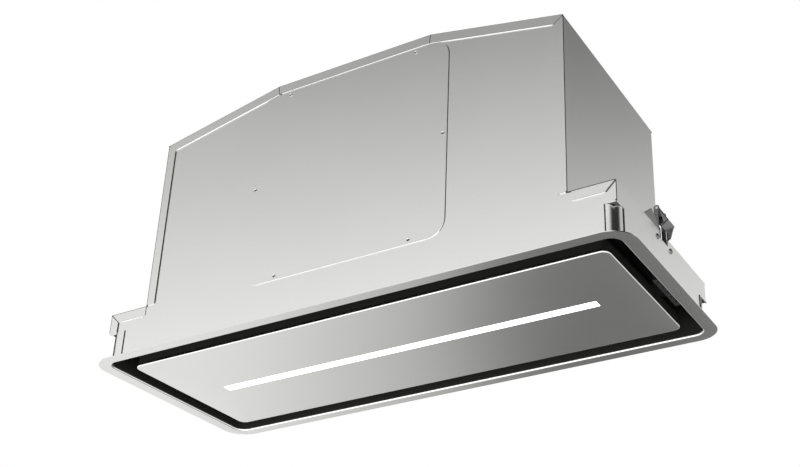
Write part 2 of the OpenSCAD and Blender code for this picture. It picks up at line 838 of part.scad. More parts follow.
// Side plate with a rolled bell mouth turned in towards the impeller
module scroll_plate(side) {
    difference() {
        translate([0, side * (scroll_w - scroll_t) / 2, 0]) along_y(scroll_t) polygon(scroll_line);
        fan_axis() cylinder(scroll_w + 2 * over, r = inlet_r + bell_r, center = true);
    }
    fan_axis() translate([0, 0, side * scroll_w / 2]) mirror([0, 0, side > 0 ? 1 : 0]) rotate_extrude()
        translate([inlet_r + bell_r, bell_r]) intersection() {
            difference() {
                circle(bell_r, $fn = small_fn);
                circle(bell_r - bell_t, $fn = small_fn);
            }
            translate([-bell_r, -bell_r]) square(bell_r);
        }
}

module scroll_front_plate() color(zinc) scroll_plate(-1);

module scroll_rear_plate() color(zinc) difference() {
    scroll_plate(1);
    mount_places() screw_hole(mount_screw_l + over);
}

// One forward-curved blade, from its inner edge to its tip, as a band of even thickness
function blade_point(s, side) = let(
    r = blade_in_r + s * (impeller_r - blade_in_r - fit), a = -blade_lean * s * s)
    r * [cos(a), sin(a)] + side * blade_t / 2 * [-sin(a), cos(a)];
blade_outline = concat(
    [for (k = [0 : blade_steps]) blade_point(k / blade_steps, -1)],
    [for (k = [blade_steps : -1 : 0]) blade_point(k / blade_steps, 1)]);

module impeller() color(black) fan_axis() {
    linear_extrude(impeller_l, center = true)
        for (k = [0 : blade_count - 1]) rotate(k * 360 / blade_count) polygon(blade_outline);
    for (k = [-1, 1]) translate([0, 0, k * (impeller_l - ring_h) / 2])
        linear_extrude(ring_h, center = true) difference() {
            circle(impeller_r);
            circle(impeller_r - ring_w);
        }
    difference() {
        union() {
            cylinder(disc_t, r = impeller_r, center = true);
            cylinder(hub_l, r = hub_r, center = true);
        }
        cylinder(hub_l + over, r = shaft_r, center = true, $fn = small_fn);
    }
}

module motor_shaft() color(zinc) fan_axis() translate([0, 0, -hub_l / 2])
    cylinder(motor_rear + hub_l / 2 - arm_t, r = shaft_r, $fn = small_fn);

module motor() color(zinc) fan_axis() difference() {
    union() {
        translate([0, 0, motor_front + motor_cap_h])
            cylinder(motor_rear - motor_front - motor_cap_h, r = motor_r);
        translate([0, 0, motor_front]) cylinder(motor_cap_h, motor_cap_r, motor_r);
        for (k = [0 : motor_fin_count - 1]) rotate(k * 360 / motor_fin_count)
            translate([0, -motor_fin_w / 2, motor_front + 2 * motor_cap_h])
                cube([motor_r + motor_fin_h, motor_fin_w, motor_rear - motor_front - 3 * motor_cap_h]);
    }
    translate([0, 0, motor_front - over])
        cylinder(motor_rear - motor_front + 2 * over, r = shaft_r + fit, $fn = small_fn);
}

module mount_places() fan_axis() for (a = arm_angles)
    rotate(a) translate([mount_orbit, 0, motor_rear + arm_t]) children();

// Three arms from the motor's rear face out to the rubber mounts on the rear plate
module motor_bracket() color(zinc) {
    difference() {
        fan_axis() translate([0, 0, motor_rear]) {
            cylinder(arm_t, r = arm_hub_r);
            for (a = arm_angles) rotate(a) {
                translate([0, -arm_w / 2, 0]) cube([mount_orbit, arm_w, arm_t]);
                translate([mount_orbit, 0, 0]) cylinder(arm_t, r = arm_w / 2);
            }
        }
        mount_places() screw_hole(screw_l);
    }
}

module motor_mounts() color(black) difference() {
    mount_places() translate([0, 0, -arm_t - (motor_rear - scroll_w / 2)])
        cylinder(motor_rear - scroll_w / 2, r = mount_r);
    mount_places() screw_hole(2 * screw_l);
}

module motor_screws() color(zinc) mount_places()
    screw(screw_head_r, screw_head_h, screw_shank_r, mount_screw_l);

module blower_screws() color(zinc) blower_screw_places() casing_screw();

module outlet_collar() color(zinc) {
    difference() {
        union() {
            translate([0, 0, top_h]) cylinder(spigot_flange_t, r = spigot_flange_r);
            translate([0, 0, top_h]) cylinder(spigot_h, r = spigot_r);
        }
        translate([0, 0, top_h - over]) cylinder(spigot_h + 2 * over, r = spigot_r - spigot_t);
        collar_screw_places() screw_hole(screw_l);
        translate([0, 0, flap_pin_z]) rotate([90, 0, 0])
            cylinder(2 * (spigot_r + over), r = flap_pin_r, center = true, $fn = small_fn);
    }
    stop_z = flap_pin_z - flap_t / 2 - fit - stop_t / 2;
    for (sx = [-1, 1], sy = [-1, 1]) rotate(45 * sx * sy + (sx > 0 ? 0 : 180))
        translate([spigot_r - spigot_t - stop_reach / 2 + fit, 0, stop_z])
            cube([stop_reach, stop_w, stop_t], center = true);
}

module collar_screws() color(zinc) collar_screw_places() casing_screw();

module flap_pin() color(zinc) translate([0, 0, flap_pin_z]) rotate([90, 0, 0])
    cylinder(2 * spigot_r, r = flap_pin_r, center = true, $fn = small_fn);

// Half-disc flap to the right of its pin, with two knuckles on the pin
module flap() translate([0, 0, flap_pin_z]) difference() {
    flap_r = spigot_r - spigot_t - flap_gap;
    edge_x = knuckle_r + flap_clear;
    union() {
        intersection() {
            cylinder(flap_t, r = flap_r, center = true);
            translate([edge_x, -flap_r, -flap_t]) cube([flap_r, 2 * flap_r, 2 * flap_t]);
        }
        for (share = knuckle_shares) translate([0, flap_r * (2 * share - 1), 0]) {
            rotate([90, 0, 0]) cylinder(knuckle_l, r = knuckle_r, center = true, $fn = small_fn);
            translate([0, -knuckle_l / 2, -flap_t / 2]) cube([edge_x + over, knuckle_l, flap_t]);
        }
    }
    rotate([90, 0, 0]) cylinder(2 * spigot_r, r = flap_pin_r + fit, center = true, $fn = small_fn);
}

module flap_right() color(zinc) flap();
module flap_left() color(zinc) rotate(180) flap();

wall_in = -body_x + sheet;

module electronics_box() color(zinc) difference() {
    translate([wall_in, -ebox_y / 2, ebox_low]) cube([ebox_x, ebox_y, ebox_z]);
    translate([wall_in + box_wall, -ebox_y / 2 + box_wall, ebox_low + box_wall])
        cube([ebox_x, ebox_y - 2 * box_wall, ebox_z - 2 * box_wall]);
    gland_place() cylinder(4 * box_wall, r = gland_r + fit, center = true, $fn = small_fn);
}

module electronics_lid() color(zinc) translate([wall_in + ebox_x, -ebox_y / 2, ebox_low])
    cube([ebox_lid_t, ebox_y, ebox_z]);

module circuit_board() color("green") {
    board_x = wall_in + box_wall + pcb_post;
    board_y = -ebox_y / 2 + pcb_in;
    board_w = ebox_y / 2 + gland_y - gland_hex_r - 2 * pcb_in;
    board_z = ebox_low + pcb_in;
    board_h = ebox_z - 2 * pcb_in;
    translate([board_x, board_y, board_z]) cube([pcb_t, board_w, board_h]);
    for (y = [board_y + pcb_in, board_y + board_w - pcb_in], z = [board_z + pcb_in, board_z + board_h - pcb_in])
        translate([board_x - pcb_post, y, z]) rotate([0, 90, 0])
            cylinder(pcb_post + pcb_t, r = pcb_in / 2, $fn = small_fn);
    translate([board_x + pcb_t, board_y + pcb_in, board_z + board_h - pcb_in - coil_z])
        cube([coil_x, coil_y, coil_z]);
    for (k = [0 : relay_count - 1])
        translate([board_x + pcb_t, board_y + pcb_in + k * (relay_y + pcb_in), board_z + pcb_in])
            cube([relay_x, relay_y, relay_z]);
}

module terminal_block() color("ivory") for (k = [0 : terminal_count - 1])
    translate([wall_in + box_wall, ebox_y / 2 - box_wall - terminal_count * terminal_y + k * terminal_y,
        ebox_low + ebox_z - box_wall - pcb_in - terminal_z])
        difference() {
            cube([terminal_x, terminal_y, terminal_z]);
            translate([terminal_x / 2, terminal_y / 2, terminal_z / 2])
                cylinder(terminal_z, r = terminal_y / 4, $fn = small_fn);
        }

module capacitor() color("white") translate([wall_in, capacitor_y, capacitor_z]) rotate([0, 90, 0]) {
    cylinder(capacitor_l - capacitor_cap_l, r = capacitor_r);
    translate([0, 0, capacitor_l - capacitor_cap_l])
        cylinder(capacitor_cap_l, r = capacitor_r * screw_taper_share);
}

module cable_gland() color(black) {
    in = sheet + box_wall;
    gland_place() difference() {
        union() {
            translate([0, 0, -in - gland_nut_h]) cylinder(in + gland_nut_h + fit, r = gland_r, $fn = small_fn);
            cylinder(gland_hex_h, r = gland_hex_r, $fn = 6);
            translate([0, 0, gland_hex_h]) cylinder(gland_dome_h, gland_r + over, gland_bore_r + over);
        }
        translate([0, 0, -in - gland_nut_h - over])
            cylinder(in + gland_nut_h + gland_hex_h + gland_dome_h + 2 * over, r = gland_bore_r, $fn = small_fn);
    }
    gland_place() translate([0, 0, -in - gland_nut_h]) difference() {
        cylinder(gland_nut_h, r = gland_hex_r, $fn = 6);
        translate([0, 0, -over]) cylinder(gland_nut_h + 2 * over, r = gland_r + fit, $fn = small_fn);
    }
}

bracket_x = upstand_x - clamp_sheet;
tongue_y = clamp_tongue_w / 2;
cheek_low = deck_z + deck_t + slack;

// Plate behind the end wall, with a tongue through the ledge between two cheeks and a guide ear to one side
module clamp_bracket() difference() {
    base_top = collar_h - sheet - slack;
    window_top = collar_h + clamp_window_up;
    cheek_in = clamp_pin_x - clamp_cheek_w / 2;
    cheek_out = clamp_pin_x + clamp_cheek_w / 2;
    union() {
        translate([bracket_x, 0, 0]) rotate([90, 0, 90]) linear_extrude(clamp_sheet) difference() {
            union() {
                translate([-clamp_base_w / 2, clamp_base_low])
                    square([clamp_base_w, base_top - clamp_base_low]);
                translate([-tongue_y, clamp_base_low])
                    square([clamp_tongue_w, collar_h + clamp_tongue_h - clamp_base_low]);
            }
            translate([clamp_sheet - tongue_y, clamp_window_low])
                square([clamp_tongue_w - 2 * clamp_sheet, window_top - clamp_window_low]);
        }
        for (k = [-1, 1]) translate([0, k * (tongue_y - clamp_sheet / 2), 0]) along_y(clamp_sheet) {
            polygon([[upstand_x, cheek_low], [upstand_x, collar_h + clamp_tongue_h], [cheek_out, clamp_pin_z],
                [cheek_in, clamp_pin_z], [upstand_x - clamp_cheek_foot, cheek_low]]);
            translate([clamp_pin_x, clamp_pin_z]) circle(clamp_cheek_w / 2);
        }
        translate([bracket_x, fit - tongue_y, collar_h + slack + clamp_sheet]) rotate([0, ear_tilt, 0])
            rotate([90, 0, 90]) linear_extrude(clamp_sheet)
                polygon([[0, 0], [-ear_l * ear_low_share, ear_h / 2], [-ear_l * ear_peak_share, ear_h], [-ear_l, 0]]);
    }
    clamp_screw_places(1) screw_hole(screw_l);
    clamp_pin_place() cylinder(clamp_tongue_w + over, r = clamp_pin_r, center = true, $fn = small_fn);
}

module clamp_pin_place() translate([clamp_pin_x, 0, clamp_pin_z]) rotate([90, 0, 0]) children();

module clamp_brackets() color(zinc) both_ends() clamp_bracket();

module clamp_pins() color(zinc) both_ends() clamp_pin_place()
    cylinder(clamp_tongue_w, r = clamp_pin_r, center = true, $fn = small_fn);

module clamp_screws() color(zinc) both_ends() clamp_screw_places(1)
    screw(screw_head_r, screw_head_h, screw_shank_r, sheet + clamp_sheet);

// Leaf that hangs from the pin, leans out past the collar and turns back in. The finger tab at one side is
// notched where it would meet the bracket's tongue as the leaf swings in.
claw_line = [[clamp_eye_r - fit, 0], [claw_out, -claw_drop], [claw_out - claw_tip_in, -claw_drop - claw_tip_drop]];
claw_inner = inset(claw_line, -claw_t);
claw_w = clamp_tongue_w - 2 * clamp_sheet - 2 * claw_gap;

module clamp_claw() translate([clamp_pin_x, 0, clamp_pin_z]) {
    along_y(claw_w) difference() {
        union() {
            circle(clamp_eye_r, $fn = small_fn);
            polygon(strip(claw_line, claw_inner, 0, 2));
        }
        circle(clamp_pin_r + fit, $fn = small_fn);
    }
    tab_in = clamp_pin_in + claw_gap;
    tab_top = (claw_line[0] + claw_inner[0]) / 2;
    translate([0, (claw_w - claw_tab_t) / 2, 0]) along_y(claw_tab_t) polygon([
        tab_top, (claw_line[1] + claw_inner[1]) / 2, [notch_x + claw_tab_w / 2, -notch_drop - claw_tab_w / 2],
        [tab_in + claw_tab_w, claw_tab_w / 2 - claw_tab_drop], [tab_in, -claw_tab_drop],
        [tab_in, -notch_drop], [notch_x, -notch_drop]]);
}

module clamp_claw_right() color(zinc) clamp_claw();
module clamp_claw_left() color(zinc) rotate(180) clamp_claw();

strip_wall_x = liner_x - liner_t;
strip_mid_x = strip_wall_x - strip_x / 2;
function button_y(k) = strip_y + (k - (button_count - 1) / 2) * button_pitch;

module control_housing() color(black) difference() {
    translate([strip_mid_x, strip_y, strip_low + strip_z / 2]) cube([strip_x, strip_l, strip_z], center = true);
    translate([strip_mid_x, strip_y, strip_low + strip_z / 2])
        cube([strip_x - 2 * strip_wall, strip_l - 2 * strip_wall, strip_z - 2 * strip_wall], center = true);
    for (k = [0 : button_count - 1]) translate([strip_mid_x, button_y(k), strip_low])
        cylinder(2 * strip_wall + over, r = button_r + button_fit, center = true, $fn = small_fn);
}

// Board with one small switch over each button
module control_board() color("green") {
    board_low = strip_low + strip_wall + button_stem_h + button_travel + switch_gap + switch_h;
    translate([strip_mid_x, strip_y, board_low + control_board_t / 2])
        cube([strip_x - 2 * strip_wall, strip_l - 2 * strip_wall, control_board_t], center = true);
    for (k = [0 : button_count - 1]) translate([strip_mid_x, button_y(k), board_low - switch_h / 2])
        cube([switch_w, switch_w, switch_h], center = true);
}

module push_button(k) translate([strip_mid_x, button_y(k), strip_low - button_out]) {
    cylinder(button_out + strip_wall + button_stem_h, r = button_r, $fn = small_fn);
    translate([0, 0, button_out + strip_wall + button_fit])
        cylinder(button_flange_h, r = button_r + button_flange, $fn = small_fn);
}

module power_button() color("dimgray") push_button(0);
module light_button() color("dimgray") push_button(1);
module slower_button() color("dimgray") push_button(2);
module faster_button() color("dimgray") push_button(3);
module boost_button() color("dimgray") push_button(4);

front_wall();
rear_wall();
left_end();
right_end();
top_cover();
access_cover();
cover_screws();
rim_frame();
gap_liner();
filter_clips();
hinge_brackets();
hinge_pins();
catch_posts();
catch_magnets();
panel_skin();
panel_box();
lamp_housing();
led_board();
light_diffuser();
hinge_arms();
strike_plates();
filter_frame(-1);  // filter_frame_left
filter_baffles(-1);  // filter_baffles_left
filter_pull(-1);  // filter_pull_left
filter_frame(1);  // filter_frame_right
filter_baffles(1);  // filter_baffles_right
filter_pull(1);  // filter_pull_right
scroll_shell();
scroll_front_plate();
scroll_rear_plate();
impeller();
motor_shaft();
motor();
motor_bracket();
motor_mounts();
motor_screws();
blower_screws();
outlet_collar();
collar_screws();
flap_pin();
flap_left();
flap_right();
electronics_box();
electronics_lid();
circuit_board();
terminal_block();
capacitor();
cable_gland();
clamp_brackets();
clamp_pins();
clamp_screws();
clamp_claw_left();
clamp_claw_right();
control_housing();
control_board();
power_button();
light_button();
slower_button();
faster_button();
boost_button();
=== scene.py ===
import json
import math

import bmesh
import bpy
from mathutils import Matrix, Vector


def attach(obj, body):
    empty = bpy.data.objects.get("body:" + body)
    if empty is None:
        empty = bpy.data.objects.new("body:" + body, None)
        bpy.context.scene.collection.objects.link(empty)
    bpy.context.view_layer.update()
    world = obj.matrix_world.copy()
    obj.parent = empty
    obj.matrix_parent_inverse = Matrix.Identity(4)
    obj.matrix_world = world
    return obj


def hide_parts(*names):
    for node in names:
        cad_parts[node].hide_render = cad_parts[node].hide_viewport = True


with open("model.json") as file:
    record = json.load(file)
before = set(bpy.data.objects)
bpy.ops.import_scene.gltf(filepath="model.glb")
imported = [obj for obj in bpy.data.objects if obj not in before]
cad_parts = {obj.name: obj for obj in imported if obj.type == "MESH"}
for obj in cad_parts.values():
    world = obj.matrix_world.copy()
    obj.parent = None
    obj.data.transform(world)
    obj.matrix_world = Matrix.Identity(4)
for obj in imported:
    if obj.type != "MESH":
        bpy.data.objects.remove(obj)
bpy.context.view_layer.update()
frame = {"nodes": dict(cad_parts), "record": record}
nodes = frame["nodes"]
mm = 0.001
print("frame loaded with", len(nodes), "nodes")


# Camera at the photograph's place, under the hood and to its right
cameraView = {
    "place": (0.75071, -1.14342, -0.62239),
    "right": (0.88587, 0.46393, -0.00180),
    "forward": (-0.41292, 0.79025, 0.45278),
    "lens": 57.487,
    "sensor": 36,
    "shift": (-0.1442, 0.0794),
    "clip": (0.05, 60),
}


def addCamera(view):
    data = bpy.data.cameras.new("camera")
    data.sensor_width = view["sensor"]
    data.sensor_fit = "HORIZONTAL"
    data.lens = view["lens"]
    data.shift_x, data.shift_y = view["shift"]
    data.clip_start, data.clip_end = view["clip"]
    camera = bpy.data.objects.new("camera", data)
    right = Vector(view["right"]).normalized()
    back = -Vector(view["forward"]).normalized()
    up = back.cross(right).normalized()
    right = up.cross(back)
    turn = Matrix((right, up, back)).transposed()
    camera.matrix_world = Matrix.Translation(view["place"]) @ turn.to_4x4()
    bpy.context.scene.collection.objects.link(camera)
    bpy.context.scene.camera = camera


addCamera(cameraView)
print("camera placed")


# Shader maths as Python expressions: a Wire is one output socket in a node tree
class Wire:
    def __init__(self, graph, socket):
        self.graph, self.socket = graph, socket

    def maths(self, operation, other=None, swapped=False):
        pair = [self] if other is None else [other, self] if swapped else [self, other]
        return self.graph.add("ShaderNodeMath", {"operation": operation}, dict(enumerate(pair)))

    def __add__(self, other):
        return self.maths("ADD", other)

    def __radd__(self, other):
        return self.maths("ADD", other)

    def __sub__(self, other):
        return self.maths("SUBTRACT", other)

    def __rsub__(self, other):
        return self.maths("SUBTRACT", other, True)

    def __mul__(self, other):
        return self.maths("MULTIPLY", other)

    def __rmul__(self, other):
        return self.maths("MULTIPLY", other)

    def __truediv__(self, other):
        return self.maths("DIVIDE", other)


class Graph:
    def __init__(self, tree):
        self.tree = tree

    def join(self, socket, value):
        if isinstance(value, Wire):
            self.tree.links.new(value.socket, socket)
        else:
            socket.default_value = value

    # Adds a node, sets its settings first and then the values or links of its sockets
    def add(self, kind, settings=None, sockets=None, output=0):
        node = self.tree.nodes.new(kind)
        for key, value in (settings or {}).items():
            setattr(node, key, value)
        for key, value in (sockets or {}).items():
            self.join(node.inputs[key], value)
        return Wire(self, node.outputs[output]) if node.outputs else node

    def blend(self, share, first, second):
        return self.add("ShaderNodeMix", {"data_type": "RGBA"}, {0: share, 6: first, 7: second}, 2)

    def place(self, scale=(1, 1, 1)):
        coords = self.add("ShaderNodeTexCoord", output="Object")
        return self.add("ShaderNodeMapping", None, {"Vector": coords, "Scale": scale})

    def noise(self, where, scale, detail=3.0, rough=0.5):
        return self.add("ShaderNodeTexNoise", None,
                        {"Vector": where, "Scale": scale, "Detail": detail, "Roughness": rough}, "Fac")

    def xyz(self, x, y, z):
        return self.add("ShaderNodeCombineXYZ", None, {"X": x, "Y": y, "Z": z})

    # Joins several geometries in one node
    def merge(self, shapes):
        node = self.tree.nodes.new("GeometryNodeJoinGeometry")
        for shape in shapes:
            self.tree.links.new(shape.socket, node.inputs["Geometry"])
        return Wire(self, node.outputs["Geometry"])

    def boolean(self, operation, solid, tools):
        node = self.tree.nodes.new("GeometryNodeMeshBoolean")
        node.operation = operation
        self.tree.links.new(solid.socket, node.inputs["Mesh 1"])
        for tool in tools:
            self.tree.links.new(tool.socket, node.inputs["Mesh 2"])
        return Wire(self, node.outputs["Mesh"])

    def bump(self, height, strength, distance):
        return self.add("ShaderNodeBump", None,
                        {"Height": height, "Strength": strength, "Distance": distance})

    def cylinder(self, vertices, radius, depth):
        return self.add("GeometryNodeMeshCylinder", None,
                        {"Vertices": vertices, "Radius": radius, "Depth": depth})

    def lifted(self, shape, height):
        return self.add("GeometryNodeTransform", None,
                        {"Geometry": shape, "Translation": self.xyz(0, 0, height)})

    def named(self, name):
        return self.add("GeometryNodeInputNamedAttribute", {"data_type": "FLOAT_VECTOR"}, {"Name": name})

    # A copy of the shape at each point
    def placed(self, points, shape, turn):
        return self.add("GeometryNodeInstanceOnPoints", None,
                        {"Points": points, "Instance": shape, "Rotation": turn})


def grey(level, warmth=0.0):
    return (level * (1 - 0.3 * warmth), level, level * (1 - warmth), 1)


# Builds a material round one Principled shader. The recipe returns the sockets that it wants set.
def makeMaterial(name, recipe, **facts):
    material = bpy.data.materials.new(name)
    material.use_nodes = True
    tree = material.node_tree
    tree.nodes.clear()
    graph = Graph(tree)
    sockets = recipe(graph, facts)
    shader = graph.add("ShaderNodeBsdfPrincipled", None, sockets)
    graph.add("ShaderNodeOutputMaterial", None, {"Surface": shader})
    material.diffuse_color = facts.get("colour", (0.5, 0.5, 0.5, 1))
    return material


# Satin sheet steel: fine brushing along one axis, with a faint cloudiness and a few long scratches
def satinRecipe(graph, facts):
    lines = graph.noise(graph.place(facts["grain"]), 1.0, 4.0, 0.65)
    cloud = graph.noise(graph.place(), 9.0, 2.0)
    streak = graph.noise(graph.place([v * 0.18 for v in facts["grain"]]), 1.0, 2.0)
    tone = lines * 0.5 + cloud * 0.3 + streak * 0.2
    low, high = facts["level"] - facts["spread"], facts["level"] + facts["spread"]
    colour = graph.blend(tone, grey(low, 0.022), grey(high, 0.022))
    return {
        "Base Color": colour,
        "Metallic": 1.0,
        "Roughness": facts["roughness"] - 0.04 + lines * facts.get("uneven", 0.06) + cloud * 0.03,
        "Normal": graph.bump(lines, facts.get("bump", 0.05), 0.0002),
    }


# Galvanised sheet: spangled crystals of slightly different tone and gloss
def spangleRecipe(graph, facts):
    crystals = graph.add("ShaderNodeTexVoronoi", {"feature": "F1"},
                         {"Vector": graph.place(), "Scale": facts["scale"], "Randomness": 1.0}, "Color")
    shade = graph.add("ShaderNodeSeparateColor", None, {0: crystals})
    fine = graph.noise(graph.place(), 600.0, 3.0)
    tone = shade * 0.7 + fine * 0.3
    level = facts["level"]
    return {
        "Base Color": graph.blend(tone, grey(level * 0.84, -0.02), grey(level * 1.1, -0.02)),
        "Metallic": 0.95,
        "Roughness": 0.30 + tone * 0.16,
        "Normal": graph.bump(fine, 0.06, 0.0003),
    }


# Plated or bare hardware: bright metal with small handling marks
def hardwareRecipe(graph, facts):
    marks = graph.noise(graph.place((1, 1, 3)), facts.get("scale", 420.0), 4.0, 0.6)
    level = facts["level"]
    return {
        "Base Color": graph.blend(marks, grey(level * 0.88, -0.015), grey(level * 1.08, -0.015)),
        "Metallic": 1.0,
        "Roughness": facts["roughness"] - 0.05 + marks * 0.12,
        "Normal": graph.bump(marks, 0.05, 0.0002),
    }


# Painted or moulded skin with a fine orange-peel grain
def skinRecipe(graph, facts):
    grain = graph.noise(graph.place(), facts.get("grain", 900.0), 3.0, 0.55)
    cloud = graph.noise(graph.place(), 14.0, 2.0)
    base = facts["colour"]
    darker = tuple(v * 0.85 for v in base[:3]) + (1,)
    lighter = tuple(min(1.0, v * 1.15) for v in base[:3]) + (1,)
    sockets = {
        "Base Color": graph.blend(grain * 0.5 + cloud * 0.5, darker, lighter),
        "Roughness": facts["roughness"] - 0.05 + grain * 0.10,
        "Normal": graph.bump(grain, facts.get("bump", 0.15), 0.0002),
        "Metallic": facts.get("metallic", 0.0),
        "Specular IOR Level": facts.get("shine", 0.35),
    }
    if facts.get("coat"):
        sockets["Coat Weight"] = facts["coat"]
        sockets["Coat Roughness"] = 0.08
    return sockets


# Coated circuit board with lighter tracks that run across it
def boardRecipe(graph, facts):
    black, white = (0, 0, 0, 1), (1, 1, 1, 1)
    tracks = graph.add("ShaderNodeTexBrick", {"offset": 0.35, "squash": 0.6},
                       {"Vector": graph.place(), "Scale": 160.0, "Color1": black, "Color2": black,
                        "Mortar": white, "Mortar Size": 0.03}, "Fac")
    fine = graph.noise(graph.place(), 500.0)
    dark, light = (0.02, 0.12, 0.05, 1), (0.07, 0.30, 0.14, 1)
    return {
        "Base Color": graph.blend(tracks * 0.7 + fine * 0.3, dark, light),
        "Roughness": 0.25 + fine * 0.15,
        "Normal": graph.bump(tracks, 0.2, 0.0002),
        "Coat Weight": 0.4,
    }


# Opal lamp cover, lit from behind
def lampRecipe(graph, facts):
    haze = graph.noise(graph.place(), 60.0, 2.0)
    return {
        "Base Color": graph.blend(haze, (0.93, 0.93, 0.93, 1), (0.97, 0.97, 0.97, 1)),
        "Roughness": 0.45 + haze * 0.1,
        "Emission Color": graph.blend(haze, (0.99, 1.0, 0.99, 1), (1.0, 1.0, 1.0, 1)),
        "Emission Strength": facts["strength"],
    }


wallGrain = (12, 12, 1900)
plateGrain = (12, 1900, 40)
finishes = {}


def addFinish(name, recipe, **facts):
    finishes[name] = makeMaterial(name, recipe, **facts)


addFinish("satinWall", satinRecipe, grain=wallGrain, level=0.74, spread=0.03, roughness=0.30)
addFinish("satinPlate", satinRecipe, grain=plateGrain, level=0.74, spread=0.015, roughness=0.23, uneven=0.02,
          bump=0.008)
addFinish("satinRim", satinRecipe, grain=plateGrain, level=0.75, spread=0.012, roughness=0.22, uneven=0.02,
          bump=0.006)
# Black paint: the black-painted parts' own colour, and also painted shade on the slot beads, relief discs,
# rivet discs and clamp window plates
addFinish("blackPaint", skinRecipe, colour=(0.019, 0.019, 0.018, 1), roughness=0.45)
addFinish("galvanised", spangleRecipe, scale=110.0, level=0.58)
addFinish("zincHardware", hardwareRecipe, level=0.64, roughness=0.28)
addFinish("springSteel", hardwareRecipe, level=0.24, roughness=0.42)
# Near-black steel for the seam beads: painted shade
addFinish("seamShadeSteel", hardwareRecipe, level=0.20, roughness=0.40)
# Nearly black steel for the gap beads, upright edge beads, corner webs and the cover's gap bead: painted
# shade
addFinish("gapShadeSteel", hardwareRecipe, level=0.09, roughness=0.45)
# Dark steel: the clamp brackets' own spring steel, set darker as painted shade under the leaves, and painted
# shade on the lip cut beads
addFinish("clampShadeSteel", hardwareRecipe, level=0.19, roughness=0.42)
addFinish("magnetGrey", skinRecipe, colour=(0.16, 0.16, 0.17, 1), roughness=0.6, metallic=0.4)
addFinish("filterBlack", satinRecipe, grain=(900, 20, 900), level=0.10, spread=0.02, roughness=0.42)
addFinish("flapAluminium", satinRecipe, grain=(15, 700, 15), level=0.70, spread=0.03, roughness=0.40)
addFinish("motorGrey", skinRecipe, colour=(0.22, 0.23, 0.24, 1), roughness=0.38, metallic=0.5)
addFinish("blackPlastic", skinRecipe, colour=(0.016, 0.016, 0.016, 1), roughness=0.55, shine=0.15)
addFinish("glossBlack", skinRecipe, colour=(0.012, 0.012, 0.013, 1), roughness=0.15, coat=0.6, bump=0.03)
addFinish("buttonGrey", skinRecipe, colour=(0.02, 0.02, 0.023, 1), roughness=0.55, shine=0.15)
addFinish("rubber", skinRecipe, colour=(0.02, 0.02, 0.02, 1), roughness=0.85, bump=0.3)
addFinish("boardGreen", boardRecipe)
addFinish("boardWhite", skinRecipe, colour=(0.82, 0.82, 0.80, 1), roughness=0.4)
addFinish("lampOpal", lampRecipe, strength=1.6)
addFinish("ivoryPlastic", skinRecipe, colour=(0.70, 0.67, 0.58, 1), roughness=0.45)
finishOfSlot = {
    "satin_steel": "satinWall", "black_paint": "blackPaint", "galvanised": "galvanised",
    "zinc_hardware": "zincHardware", "spring_steel": "springSteel", "magnet": "magnetGrey",
    "filter_aluminium": "filterBlack", "flap_aluminium": "flapAluminium", "motor_grey": "motorGrey",
    "black_plastic": "blackPlastic", "gloss_black": "glossBlack", "button_grey": "buttonGrey",
    "rubber": "rubber",
    "board_green": "boardGreen", "board_white": "boardWhite", "diffuser": "lampOpal",
    "ivory_plastic": "ivoryPlastic",
}
finishOfNode = {"panel_skin": "satinPlate", "rim_frame": "satinRim", "top_cover": "satinWall",
                "clamp_brackets": "clampShadeSteel", "control_housing": "blackPaint"}


def dress(thing, finish):
    thing.data.materials.clear()
    thing.data.materials.append(finishes[finish])


for part in frame["record"]["subparts"]:
    dress(nodes[part["node"]], finishOfNode.get(part["node"], finishOfSlot[part["material_slot"]]))
print("materials made and given to the nodes")


softening = {"weld": 0.00001, "segments": 2, "angle": 35, "weight": 100}


# Welds a node's triangles and breaks its sharp edges a little
def soften(name, width):
    thing = nodes[name]
    angle = math.radians(softening["angle"])
    thing.data.polygons.foreach_set("use_smooth", [True] * len(thing.data.polygons))
    weld = thing.modifiers.new("weld", "WELD")
    weld.merge_threshold = softening["weld"]
    if width:
        bevel = thing.modifiers.new("edgeBreak", "BEVEL")
        bevel.width, bevel.segments, bevel.limit_method = width * mm, softening["segments"], "ANGLE"
        bevel.angle_limit = angle
        bevel.use_clamp_overlap = True
    split = thing.modifiers.new("sharpEdges", "EDGE_SPLIT")
    split.split_angle = angle
    if width:
        even = thing.modifiers.new("evenNormals", "WEIGHTED_NORMAL")
        even.mode, even.weight, even.keep_sharp = "FACE_AREA", softening["weight"], True


softNodes = {
    "rim_frame": 0, "panel_skin": 0, "top_cover": 0, "left_end": 0.3, "right_end": 0.3, "outlet_collar": 0.2,
    "clamp_brackets": 0.25, "clamp_claw_left": 0.25, "clamp_claw_right": 0.25, "clamp_pins": 0.2,
    "control_housing": 0, "capacitor": 0.6, "cable_gland": 0.3, "motor_bracket": 0.3, "motor_mounts": 0.5,
    "hinge_arms": 0.3, "hinge_brackets": 0.25, "hinge_pins": 0.2, "filter_pull_left": 0.3,
    "filter_pull_right": 0.3, "filter_frame_left": 0.3, "filter_frame_right": 0.3, "electronics_box": 0.3,
    "electronics_lid": 0.3, "terminal_block": 0.3, "catch_magnets": 0.3, "catch_posts": 0.3,
    "scroll_front_plate": 0, "scroll_rear_plate": 0, "scroll_shell": 0, "flap_left": 0.2, "flap_right": 0.2,
    "gap_liner": 0, "motor_shaft": 0.2, "flap_pin": 0.2,
}
for name, width in softNodes.items():
    soften(name, width)
print("edges of the nodes softened")


